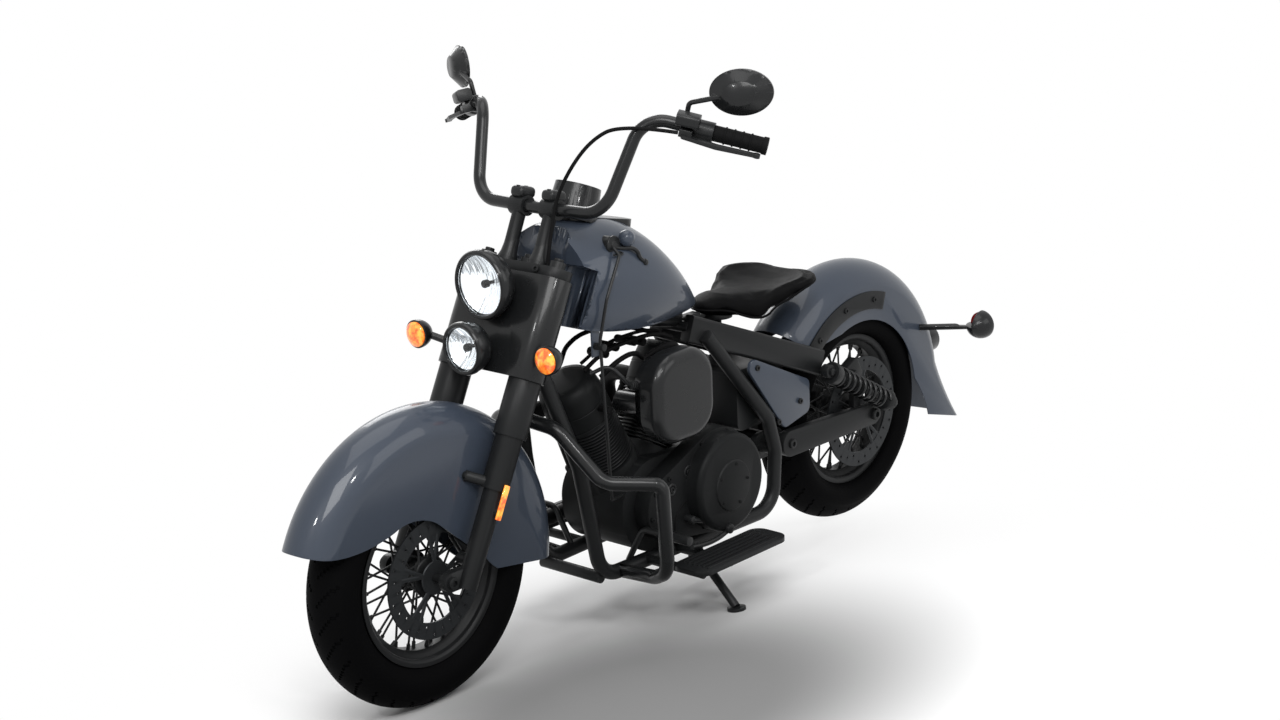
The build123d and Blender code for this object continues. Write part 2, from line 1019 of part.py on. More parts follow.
# Fork clamps with the steering stem, and the risers that hold the handlebar
with BuildPart() as triple_clamps:
    for start, height in (
        (lower_clamp_start, lower_clamp_height),
        (upper_clamp_start, upper_clamp_height),
    ):
        with BuildSketch(FORK.offset(start)):
            with Locations((0, half_legs), (0, -half_legs)):
                Circle(clamp_radius)
            with Locations((-stem_setback, 0)):
                Circle(stem_boss_radius)
            make_hull()
        extrude(amount=height)
        with BuildSketch(FORK.offset(start)):
            with Locations((0, half_legs), (0, -half_legs)):
                Circle(leg_radius + seat_gap)
        extrude(amount=height, mode=Mode.SUBTRACT)
    stem_top = clamp_top + cap_height
    add_rod(on_fork(-stem_setback, 0, lower_clamp_start), on_fork(-stem_setback, 0, stem_top), stem_radius)
    add_rod(
        on_fork(-stem_setback, 0, clamp_top),
        on_fork(-stem_setback, 0, stem_top),
        stem_nut_radius,
    )
    for side in (1, -1):
        add_rod(
            on_fork(0, side * riser_half, clamp_top),
            on_fork(0, side * riser_half, clamp_top + riser_foot_height),
            riser_foot_radius,
        )
    for side in (1, -1):
        bar_back = bar_low_back * riser_half / bar_low_half
        riser_top = Vector(bar_forward - bar_back, side * riser_half, bar_height)
        add_rod(on_fork(0, side * riser_half, clamp_top + riser_foot_height), riser_top, riser_radius)
        add_rod(
            riser_top - Vector(0, riser_head_length / 2, 0),
            riser_top + Vector(0, riser_head_length / 2, 0),
            riser_head_radius,
        )
    for side in (1, -1):
        add_rod(
            (bar_forward, 0, bar_height),
            (bar_low.X, side * bar_low.Y, bar_low.Z),
            bar_radius + seat_gap,
            Mode.SUBTRACT,
        )
triple_clamps.part.label = "triple_clamps"

with BuildPart() as grips:
    with BuildSketch(HAND.offset(-grip_end_length / 2)):
        Circle(grip_end_radius)
    extrude(amount=grip_end_length)
    with BuildSketch(HAND.offset(grip_end_length / 2)):
        Circle(grip_radius)
    extrude(amount=grip_length - grip_end_length / 2)
    for ring in range(grip_rings):
        with BuildSketch(HAND.offset(grip_end_length + (ring + 1) * grip_length / (grip_rings + 2))):
            Circle(grip_end_radius)
        extrude(amount=grip_ring_width)
    with BuildSketch(HAND):
        Circle(bar_radius + seat_gap)
    extrude(amount=overrun, mode=Mode.SUBTRACT)
    mirror(about=Plane.XZ)
grips.part.label = "grips"

switch_start = grip_length + seat_gap
perch_start = switch_start + switch_length + seat_gap
with BuildPart() as hand_controls:
    with BuildSketch(HAND.offset(switch_start)):
        Circle(switch_radius)
    extrude(amount=switch_length)
    with BuildSketch(HAND.offset(perch_start)):
        Circle(perch_radius)
        with Locations((lever_root_forward / 2, -lever_drop / 2)):
            RectangleRounded(lever_root_forward, perch_radius, lever_thickness / 2)
    extrude(amount=perch_length)
    with BuildSketch(HAND.offset(perch_start + perch_length / 2 - reservoir_length / 2)):
        with Locations((reservoir_forward, perch_radius + reservoir_height / 2 - lever_thickness)):
            RectangleRounded(reservoir_width, reservoir_height, lever_thickness)
    extrude(amount=reservoir_length)
    lever_root = perch_start + perch_length / 2
    LEVER = Plane(
        origin=HAND.from_local_coords(Vector(0, -lever_drop - lever_thickness / 2, 0)),
        x_dir=HAND.x_dir,
        z_dir=HAND.y_dir,
    )
    lever_points = (
        (lever_root_forward, lever_root, lever_width / 2),
        (lever_forward, lever_root - lever_length * lever_knee_share, lever_width / 2),
        (lever_forward - lever_tip_back, lever_root - lever_length, lever_tip_width / 2),
    )
    for near, far in zip(lever_points, lever_points[1:]):
        with BuildSketch(LEVER):
            for ahead, along, radius in (near, far):
                with Locations((ahead, -along)):
                    Circle(radius)
            make_hull()
        extrude(amount=lever_thickness)
    tip_ahead, tip_along = lever_points[-1][:2]
    with BuildSketch(LEVER):
        with Locations((tip_ahead, -tip_along)):
            Circle(lever_ball_radius)
    extrude(amount=lever_thickness)
    with BuildSketch(HAND):
        Circle(bar_radius + seat_gap)
    extrude(amount=overrun, mode=Mode.SUBTRACT)
    mirror(about=Plane.XZ)
hand_controls.part.label = "hand_controls"

mirror_centre = Vector(mirror_forward, mirror_side, mirror_height)
mirror_back = Vector(cos(radians(mirror_turn)), sin(radians(mirror_turn)), 0)
MIRROR = Plane(
    origin=mirror_centre,
    x_dir=(-mirror_back.Y, mirror_back.X, 0),
    z_dir=mirror_back,
)
with BuildPart() as mirrors:
    with BuildSketch(MIRROR):
        Ellipse(mirror_length / 2, mirror_width / 2)
    with BuildSketch(MIRROR.offset(mirror_depth)):
        Ellipse(mirror_length / 2 * mirror_back_share, mirror_width / 2 * mirror_back_share)
    loft()
    with BuildSketch(MIRROR):
        Ellipse(mirror_length / 2, mirror_width / 2)
    extrude(amount=-mirror_rim)
    stem_along = perch_start + perch_length - mirror_stem_radius
    stem_foot = HAND.from_local_coords(Vector(0, perch_radius + seat_gap, stem_along))
    stem_knee = stem_foot + HAND.y_dir * mirror_stem_rise
    stem_head = mirror_centre + mirror_back * (mirror_depth / 2)
    add_tube([stem_foot, stem_knee, stem_head], [mirror_stem_rise / 3], mirror_stem_radius)
    mirror(about=Plane.XZ)
mirrors.part.label = "mirrors"

# The left lever's cable, in an arc down to the riser
cable_along = perch_start + perch_length + cable_seat
cable_side = riser_half + riser_foot_radius + cable_radius + cable_seat
cable_route = [
    HAND.from_local_coords(Vector(lever_root_forward, -lever_drop / 2, cable_along)),
    Vector(1128, 240, 1322),
    Vector(1172, 178, 1284),
    Vector(1199, 118, 1196),
    Vector(1208, 81, 1108),
    on_fork(-cable_radius, cable_side, clamp_top + cable_seat),
]
with BuildPart() as clutch_cable:
    add_tube(cable_route, cable_bends, cable_radius)
clutch_cable.part.label = "clutch_cable"


def guard_outline(reach, half, shoulder, floor):
    """Half-round crown on straight sides, in a plane through the wheel's axle."""
    with BuildLine() as outline:
        Polyline((shoulder, -half), (floor, -half), (floor, half), (shoulder, half))
        ThreePointArc((shoulder, half), (reach, 0), (shoulder, -half))
    return outline


def guard_plane(axle, angle):
    """The plane through an axle at this angle, with its X pointing outwards."""
    outwards = (cos(radians(angle)), 0, sin(radians(angle)))
    return Plane(origin=axle, x_dir=outwards, z_dir=(-outwards[2], 0, outwards[0]))


def add_guard(axle, start, end, reach, half, shoulder, floor):
    """A mudguard's shell, turned about its axle from one angle to another."""
    plane = guard_plane(axle, start)
    with BuildSketch(plane) as section:
        make_face(guard_outline(reach, half, shoulder, floor).edges())
        make_face(
            guard_outline(reach - guard_wall, half - guard_wall, shoulder, floor - overrun).edges(),
            mode=Mode.SUBTRACT,
        )
    revolve(section.sketch, axis=Axis(axle, (0, -1, 0)), revolution_arc=end - start)


# Front mudguard, with its skirt's edge as shares of the crown's radius about the axle
skirt_edge_shares = {
    "front": ((1.06, 0.45), (0.621, 0.335), (0.325, 0.374)),
    "arch": ((0.325, 0.374), (0.153, 0.397), (-0.007, 0.333)),
    "rear": ((-0.365, 0.02), (-0.463, -0.079), (-0.635, -0.143)),
}


def skirt_point(share):
    """A point of the front skirt's edge in side view."""
    return (front_axle.X + share[0] * front_guard_radius, front_axle.Z + share[1] * front_guard_radius)


with BuildPart() as front_fender:
    add_guard(
        front_axle,
        front_guard_front_angle,
        front_guard_rear_angle,
        front_guard_radius,
        front_guard_half,
        front_guard_shoulder,
        front_skirt_radius,
    )
    with BuildSketch(side_plane(overrun)):
        with BuildLine():
            ThreePointArc(*[skirt_point(share) for share in skirt_edge_shares["front"]])
            ThreePointArc(*[skirt_point(share) for share in skirt_edge_shares["arch"]])
            Line(skirt_point(skirt_edge_shares["arch"][-1]), skirt_point(skirt_edge_shares["rear"][0]))
            ThreePointArc(*[skirt_point(share) for share in skirt_edge_shares["rear"]])
            Polyline(
                skirt_point(skirt_edge_shares["rear"][-1]),
                (front_axle.X - 2 * overrun, skirt_point(skirt_edge_shares["rear"][-1])[1]),
                (front_axle.X - 2 * overrun, -overrun),
                (front_axle.X + 2 * overrun, -overrun),
                skirt_point(skirt_edge_shares["front"][0]),
            )
        make_face()
    extrude(amount=2 * overrun, mode=Mode.SUBTRACT)
front_fender.part.label = "front_fender"

# Where the side stand hinges and lands, which also places its bracket on the frame
ground_normal = Vector(0, -sin(radians(lean)), cos(radians(lean)))
stand_foot_z = crown_radius + (sin(radians(lean)) * stand_foot_side - crown_radius) / cos(radians(lean))
stand_pivot = Vector(stand_pivot_x, stand_pivot_side, stand_pivot_z)
stand_foot = Vector(stand_foot_x, stand_foot_side, stand_foot_z)
stand_down = (stand_foot - stand_pivot).normalized()
stand_axis = stand_down.cross(Vector(*stand_folded)).normalized()

# Frame: head tube, backbone, cradle loop, saddle rails, pivot plates and the stand's bracket
head_start = lower_clamp_start + lower_clamp_height + head_margin
head_end = upper_clamp_start - head_margin
backbone_height = (backbone_head_z - tyre_radius + stem_setback * rake_sin) / rake_cos
down_height = head_start + down_top_rise
with BuildPart() as frame:
    add_rod(on_fork(-stem_setback, 0, head_start), on_fork(-stem_setback, 0, head_end), head_radius)
    add_rod(
        on_fork(-stem_setback, 0, backbone_height),
        (backbone_rear_x, 0, backbone_rear_z),
        backbone_radius,
    )
    for side in (1, -1):
        add_tube(
            [
                on_fork(-stem_setback, side * down_top_half, down_height),
                Vector(down_knee_x, side * down_half, down_knee_z),
                Vector(cradle_front_x, side * cradle_half, cradle_z),
                Vector(cradle_rear_x, side * rail_knee_half, cradle_z),
                Vector(rail_foot_x, side * rail_knee_half, rail_foot_z),
                Vector(rail_knee_x, side * rail_knee_half, rail_knee_z),
                Vector(rail_top_x, side * rail_top_half, rail_top_z),
            ],
            [cradle_bend, cradle_bend, cradle_bend, cradle_bend, cradle_bend],
            rail_radius,
        )
        rail_start = Vector(saddle_rail_front_x, side * saddle_rail_front_half, saddle_rail_front_z)
        rail_end = Vector(saddle_rail_rear_x, side * saddle_rail_rear_half, saddle_rail_rear_z)
        with BuildSketch(Plane(origin=rail_start, x_dir=(0, 1, 0), z_dir=rail_end - rail_start)):
            RectangleRounded(saddle_rail_width, saddle_rail_depth, saddle_rail_round)
        extrude(amount=(rail_end - rail_start).length)
        plate_face = side * pivot_plate_half if side > 0 else pivot_plate_width - pivot_plate_half
        add_link(
            (pivot_x, pivot_z),
            pivot_plate_round,
            (rail_foot_x, rail_foot_z),
            pivot_plate_round,
            plate_face,
            pivot_plate_width,
        )
    for cross_x, cross_z, cross_half, cross_radius in (
        (rail_foot_x, rail_foot_z, rail_knee_half, rail_cross_radius),
        (saddle_cross_x, saddle_cross_z, saddle_rail_rear_half - saddle_rail_width / 2, rail_cross_radius),
        (post_x, post_cross_z, post_cross_half, rail_cross_radius),
        (backbone_rear_x, saddle_rail_front_z, saddle_rail_front_half, rail_cross_radius),
        (cradle_front_x, cradle_z, cradle_half, rail_cross_radius),
    ):
        add_rod((cross_x, -cross_half, cross_z), (cross_x, cross_half, cross_z), cross_radius)
    add_rod(
        on_fork(-stem_setback, 0, head_start),
        on_fork(-stem_setback, 0, head_end),
        stem_radius + seat_gap,
        Mode.SUBTRACT,
    )
    add_rod(
        (pivot_x, -pivot_plate_half, pivot_z),
        (pivot_x, pivot_plate_half, pivot_z),
        pivot_radius + seat_gap,
        Mode.SUBTRACT,
    )
    boss_high = stand_pivot - stand_axis * (stand_eye_width / 2 + seat_gap)
    boss_low = boss_high - stand_axis * stand_boss_width
    add_rod((boss_high + boss_low) / 2, (stand_pivot_x, cradle_half, cradle_z), stand_arm_radius)
    add_rod(boss_high, stand_pivot + stand_axis * overrun, stand_eye_radius + stand_clearance, Mode.SUBTRACT)
    add_rod(boss_low, boss_high, stand_eye_radius)
    add_rod(boss_low, stand_pivot + stand_axis * (stand_eye_width / 2), stand_pin_radius)
frame.part.label = "frame"

# Swingarm with its pivot tube, rear axle and the rear caliper's ear
with BuildPart() as swingarm:
    for side in (1, -1):
        arm_face = arm_half + arm_width / 2 if side > 0 else arm_width / 2 - arm_half
        add_link((pivot_x, pivot_z), arm_depth / 2, (0, tyre_radius), arm_rear_depth / 2, arm_face, arm_width)
    arm_outer = arm_half + arm_width / 2
    add_rod((pivot_x, -arm_outer, pivot_z), (pivot_x, arm_outer, pivot_z), pivot_radius)
    add_rod((0, -arm_outer, tyre_radius), (0, arm_outer, tyre_radius), axle_radius)
    ear_face = arm_half - arm_width / 2
    ear_width = ear_face - rear_disc_offset - disc_thickness / 2 - caliper_gap - caliper_cheek - seat_gap
    ear_spot = turned(rear_axle, rear_disc_radius - disc_track / 2, rear_caliper_angle)
    add_link(
        ear_spot,
        caliper_ear_radius,
        (ear_spot[0], tyre_radius),
        caliper_ear_radius,
        ear_face + arm_wall_round,
        ear_width + arm_wall_round,
    )
    for side in (1, -1):
        add_rod(
            (shock_foot_x, side * arm_half, shock_foot_z),
            (shock_foot_x, side * (shock_half + shock_eye_width / 2), shock_foot_z),
            shock_bolt_radius,
        )
        tab_face = arm_outer if side > 0 else arm_width - arm_outer
        add_link(
            (shock_foot_x, shock_foot_z),
            shock_eye_radius,
            (-shock_foot_x, tyre_radius),
            shock_eye_radius,
            tab_face,
            arm_width,
        )
swingarm.part.label = "swingarm"

# Shock absorbers, each spring wound on its body
shock_top = Vector(shock_top_x, shock_half, shock_top_z)
shock_foot = Vector(shock_foot_x, shock_half, shock_foot_z)
shock_run = shock_foot - shock_top
shock_way = shock_run.normalized()
SHOCK = Plane(origin=shock_top, x_dir=(0, 1, 0), z_dir=shock_way)
with BuildPart() as shocks:
    for eye in (shock_top, shock_foot):
        add_rod(
            eye - Vector(0, shock_eye_width / 2, 0),
            eye + Vector(0, shock_eye_width / 2, 0),
            shock_eye_radius,
        )
    add_rod(shock_top, shock_foot, shock_eye_radius * shock_neck_share)
    cap_start = shock_top + shock_way * shock_cap_start
    add_rod(cap_start, cap_start + shock_way * shock_cap_length, shock_cap_radius)
    seat_start = shock_foot - shock_way * (shock_eye_radius + shock_seat_length)
    add_rod(seat_start, seat_start + shock_way * shock_seat_length, shock_cap_radius)
    add_rod(cap_start, seat_start, shock_body_radius)
    coil_start = shock_cap_start + shock_cap_length + coil_wire_radius + coil_margin
    coil_end = shock_run.length - shock_eye_radius - shock_seat_length - coil_wire_radius - coil_margin
    for turn in range(coil_turns):
        rise = coil_start + (coil_end - coil_start) * turn / (coil_turns - 1)
        coil_spot = SHOCK.from_local_coords(Vector(0, 0, rise))
        with BuildSketch(Plane(origin=coil_spot, x_dir=(0, 1, 0), z_dir=shock_run.cross(Vector(0, 1, 0)))):
            with Locations((coil_radius, 0)):
                RegularPolygon(coil_wire_radius, coil_wire_sides)
        revolve(axis=Axis(shock_top, shock_way))
    for eye in (shock_top, shock_foot):
        add_rod(
            eye - Vector(0, shock_eye_width, 0),
            eye + Vector(0, shock_eye_width, 0),
            shock_bolt_radius + seat_gap,
            Mode.SUBTRACT,
        )
    mirror(about=Plane.XZ)
shocks.part.label = "shocks"

# Engine: cases, finned barrels and smooth heads
with BuildPart() as crankcase:
    add_link(
        (crank_x, crank_z),
        case_radius,
        (gearbox_x, gearbox_z),
        gearbox_radius,
        case_left,
        case_left + gearbox_right,
    )
    with BuildSketch(side_plane(case_left)):
        with Locations((crank_x, crank_z)):
            Circle(case_radius)
    extrude(amount=case_left - case_right)
    for bank in (1, -1):
        deck_way = Vector(bank * sin(radians(bank_angle)), 0, cos(radians(bank_angle)))
        crank_spot = Vector(crank_x, 0, crank_z)
        add_rod(crank_spot, crank_spot + deck_way * deck_distance, deck_radius)
    for bank in (1, -1):
        deck_way = Vector(bank * sin(radians(bank_angle)), 0, cos(radians(bank_angle)))
        add_rod(
            crank_spot + deck_way * deck_distance,
            crank_spot + deck_way * head_distance,
            fin_radius + seat_gap,
            Mode.SUBTRACT,
        )
    with BuildSketch(side_plane(case_right)):
        with Locations((crank_x, crank_z)):
            Circle(timing_radius)
    extrude(amount=timing_depth)
    add_rod(
        (gearbox_x, -gearbox_right, gearbox_z),
        (gearbox_x, -pulley_offset - pulley_width / 2, gearbox_z),
        drive_pulley_radius,
    )
    with BuildSketch(Plane.XY.offset(cradle_z + rail_radius + seat_gap)):
        with Locations((crank_x, 0)):
            Rectangle(2 * overrun, 2 * overrun)
    extrude(amount=-overrun, mode=Mode.SUBTRACT)
crankcase.part.label = "crankcase"


def bank_plane(bank, distance):
    """The plane square to a cylinder's axis, at this distance from the crank."""
    way = Vector(bank * sin(radians(bank_angle)), 0, cos(radians(bank_angle)))
    return Plane(origin=Vector(crank_x, 0, crank_z) + way * distance, x_dir=(0, 1, 0), z_dir=way)


with BuildPart() as cylinders:
    for bank in (1, -1):
        barrel_length = head_distance - deck_distance - 2 * seat_gap
        with BuildSketch(bank_plane(bank, deck_distance + seat_gap)):
            Circle(barrel_radius)
        extrude(amount=barrel_length)
        for fin in range(fin_count):
            fin_rise = deck_distance + (fin + 1) * barrel_length / (fin_count + 1) - fin_thickness / 2
            with BuildSketch(bank_plane(bank, fin_rise)):
                Circle(fin_radius)
            extrude(amount=fin_thickness)
cylinders.part.label = "cylinders"

with BuildPart() as cylinder_heads:
    for bank in (1, -1):
        with BuildSketch(bank_plane(bank, head_distance)):
            Circle(fin_radius * head_radius_share)
        extrude(amount=head_height)
        with BuildSketch(bank_plane(bank, head_distance + head_height)):
            Circle(fin_radius * head_radius_share)
        extrude(amount=dome_height, taper=dome_taper)
        along_bank = faces().filter_by(
            lambda face: face.normal_at().dot(bank_plane(bank, 0).z_dir) > face_cosine_share
        )
        fillet(along_bank.sort_by(Axis.Z)[-1].edges(), dome_round)
cylinder_heads.part.label = "cylinder_heads"

# Primary drive cover with its round drum and inspection disc
with BuildPart() as primary_cover:
    primary_face = case_left + primary_depth
    add_link(
        (clutch_x, clutch_z),
        clutch_radius,
        (primary_front_x, crank_z),
        primary_front_radius,
        primary_face,
        primary_depth,
    )
    with BuildSketch(side_plane(primary_face)):
        with Locations((clutch_x, clutch_z)):
            Circle(clutch_radius - drum_shrink)
    extrude(amount=-drum_depth)
    fillet(faces().sort_by(Axis.Y)[-1].edges(), drum_round)
    with BuildSketch(side_plane(primary_face + drum_depth)):
        with Locations((clutch_x, clutch_z - derby_drop)):
            Circle(derby_radius)
    extrude(amount=-derby_depth)
primary_cover.part.label = "primary_cover"

# Air cleaner: domed cover on a narrower back, and the intake pipe to the middle of the V
with BuildPart() as air_cleaner:
    with BuildSketch(side_plane(filter_far)):
        with Locations((filter_x, filter_z)):
            RectangleRounded(filter_width, filter_height, filter_round)
    extrude(amount=filter_far - filter_near - filter_back_depth)
    fillet(faces().sort_by(Axis.Y)[-1].edges(), filter_edge)
    with BuildSketch(side_plane(filter_near + filter_back_depth)):
        with Locations((filter_x, filter_z)):
            RectangleRounded(
                filter_width - 2 * filter_back_inset,
                filter_height - 2 * filter_back_inset,
                filter_round - filter_back_inset,
            )
    extrude(amount=filter_back_depth)
    add_rod((filter_x, filter_near, manifold_z), (crank_x, 0, manifold_z), manifold_radius)
    for bank in (1, -1):
        way = bank_plane(bank, 0).z_dir
        add_rod(
            Vector(crank_x, 0, crank_z) + way * deck_distance,
            Vector(crank_x, 0, crank_z) + way * (head_distance + head_height),
            fin_radius * head_radius_share + seat_gap,
            Mode.SUBTRACT,
        )
air_cleaner.part.label = "air_cleaner"

# Exhaust on the right side: two pipes into one silencer
with BuildPart() as exhaust:
    port_forward = bank_plane(1, head_distance + head_height / 2).origin
    port_rear = bank_plane(-1, head_distance + head_height / 2).origin
    port_side = -fin_radius * port_side_share
    add_tube(
        [
            port_forward + Vector(fin_radius * port_ahead_share, port_side, 0),
            Vector(front_pipe_x, -front_pipe_side, port_forward.Z - pipe_radius),
            Vector(front_pipe_x - pipe_sweep / 2, -muffler_side, muffler_z + pipe_drop),
            Vector(front_pipe_x - pipe_sweep * 2, -muffler_side, muffler_z),
            Vector(muffler_front_x, -muffler_side, muffler_z),
        ],
        [pipe_bend, pipe_bend, pipe_bend],
        pipe_radius,
    )
    add_tube(
        [
            port_rear + Vector(0, port_side, 0),
            Vector(port_rear.X, -muffler_side, port_rear.Z),
            Vector(rear_pipe_x, -muffler_side, muffler_z + pipe_drop),
            Vector(muffler_front_x, -muffler_side, muffler_z),
        ],
        [pipe_bend, pipe_bend],
        pipe_radius,
    )
    muffler_start = Vector(muffler_front_x, -muffler_side, muffler_z)
    muffler_end = Vector(muffler_rear_x, -muffler_side, muffler_z + muffler_rise)
    muffler_way = (muffler_end - muffler_start).normalized()
    MUFFLER = Plane(origin=muffler_start, x_dir=(0, 1, 0), z_dir=muffler_way)
    with BuildSketch(MUFFLER.offset(-pipe_radius)):
        Circle(pipe_radius * muffler_neck_share)
    with BuildSketch(MUFFLER.offset(muffler_taper)):
        Circle(muffler_radius)
    loft()
    with BuildSketch(MUFFLER.offset(muffler_taper)):
        Circle(muffler_radius)
    extrude(amount=(muffler_end - muffler_start).length - muffler_taper)
    with BuildSketch(Plane(origin=muffler_end, x_dir=(0, 1, 0), z_dir=-muffler_way)):
        Circle(muffler_radius - exhaust_wall)
    extrude(amount=muffler_mouth, mode=Mode.SUBTRACT)
    for bank in (1, -1):
        way = bank_plane(bank, 0).z_dir
        add_rod(
            Vector(crank_x, 0, crank_z) + way * deck_distance,
            Vector(crank_x, 0, crank_z) + way * (head_distance + head_height + dome_height),
            fin_radius * head_radius_share + seat_gap,
            Mode.SUBTRACT,
        )
exhaust.part.label = "exhaust"

# Rear mudguard: round over the wheel, then flared out to its tail, with the flare of the crown
# and the rise of the side's edge given as shares at each angle about the axle
tail_angles = (172, 184, 195.6)
tail_flare_shares = (0, 0.305, 1)
tail_edge_shares = (0, 0.475, 1)
with BuildPart() as rear_fender:
    add_guard(
        rear_axle,
        rear_guard_front_angle,
        tail_angles[0],
        rear_guard_radius,
        rear_guard_half,
        rear_guard_shoulder,
        rear_guard_side_radius,
    )
    for inset, mode in ((0, Mode.ADD), (guard_wall, Mode.SUBTRACT)):
        for angle, flare_share, edge_share in zip(tail_angles, tail_flare_shares, tail_edge_shares):
            reach = rear_guard_radius + flare_share * tail_flare
            floor = rear_guard_side_radius + edge_share * tail_edge_rise
            plane = guard_plane(rear_axle, angle)
            shoulder = rear_guard_shoulder + reach - rear_guard_radius
            with BuildSketch(plane):
                make_face(
                    guard_outline(reach - inset, rear_guard_half - inset, shoulder, floor - inset).edges()
                )
        loft(mode=mode)
    with BuildSketch(side_plane(overrun)):
        with BuildLine():
            Polyline(
                turned(rear_axle, rear_guard_side_radius, lower_edge_angle),
                turned(
                    rear_axle,
                    strut_outer_radius - saddle_rail_round,
                    rear_guard_front_angle - rear_edge_turn,
                ),
                (rear_guard_radius, 0),
                (0, 0),
                close=True,
            )
        make_face()
    extrude(amount=2 * overrun, mode=Mode.SUBTRACT)
rear_fender.part.label = "rear_fender"

with BuildPart() as fender_struts:
    for side in (1, -1):
        strut_face = rear_guard_half + strut_thickness if side > 0 else -rear_guard_half
        with BuildSketch(guard_plane(rear_axle, strut_front_angle)):
            with Locations(((strut_inner_radius + strut_outer_radius) / 2, strut_face - strut_thickness / 2)):
                Rectangle(strut_outer_radius - strut_inner_radius, strut_thickness)
        revolve(axis=Axis(rear_axle, (0, -1, 0)), revolution_arc=strut_rear_angle - strut_front_angle)
fender_struts.part.label = "fender_struts"

with BuildPart() as rear_lamps:
    tail_rim_x = tail_lamp_x - tail_lamp_depth
    for side in (1, -1):
        with BuildSketch(Plane.XZ.offset(-side * tail_lamp_side)) as bowl:
            with BuildLine():
                Line((tail_lamp_x, tail_lamp_z), (tail_rim_x, tail_lamp_z))
                Line((tail_rim_x, tail_lamp_z), (tail_rim_x, tail_lamp_z + tail_lamp_radius))
                ThreePointArc(
                    (tail_rim_x, tail_lamp_z + tail_lamp_radius),
                    (tail_lamp_x - tail_lamp_depth / 2, tail_lamp_z + tail_lamp_radius * bowl_share),
                    (tail_lamp_x, tail_lamp_z),
                )
            make_face()
        revolve(bowl.sketch, axis=Axis((tail_lamp_x, side * tail_lamp_side, tail_lamp_z), (1, 0, 0)))
        add_rod(
            (tail_stalk_x, side * (rear_guard_half + seat_gap), tail_stalk_z),
            (tail_lamp_x - tail_lamp_depth / 2, side * tail_lamp_side, tail_lamp_z),
            tail_stem_radius,
        )
        with BuildSketch(side_plane(rear_guard_half + seat_gap)):
            with Locations((tail_stalk_x, tail_stalk_z)):
                Rectangle(overrun, overrun)
        extrude(amount=2 * (rear_guard_half + seat_gap), mode=Mode.SUBTRACT)
    brake_start = Vector(-rear_guard_radius - brake_lamp_depth, 0, brake_lamp_z)
    add_rod(brake_start, brake_start + Vector(rear_guard_radius, 0, 0), brake_lamp_radius)
    with BuildSketch(guard_plane(rear_axle, rear_guard_front_angle)):
        make_face(
            guard_outline(
                rear_guard_radius + seat_gap, rear_guard_half + seat_gap, rear_guard_shoulder, 0
            ).edges()
        )
    revolve(
        axis=Axis(rear_axle, (0, -1, 0)),
        revolution_arc=tail_angles[0] - rear_guard_front_angle,
        mode=Mode.SUBTRACT,
    )
rear_lamps.part.label = "rear_lamps"

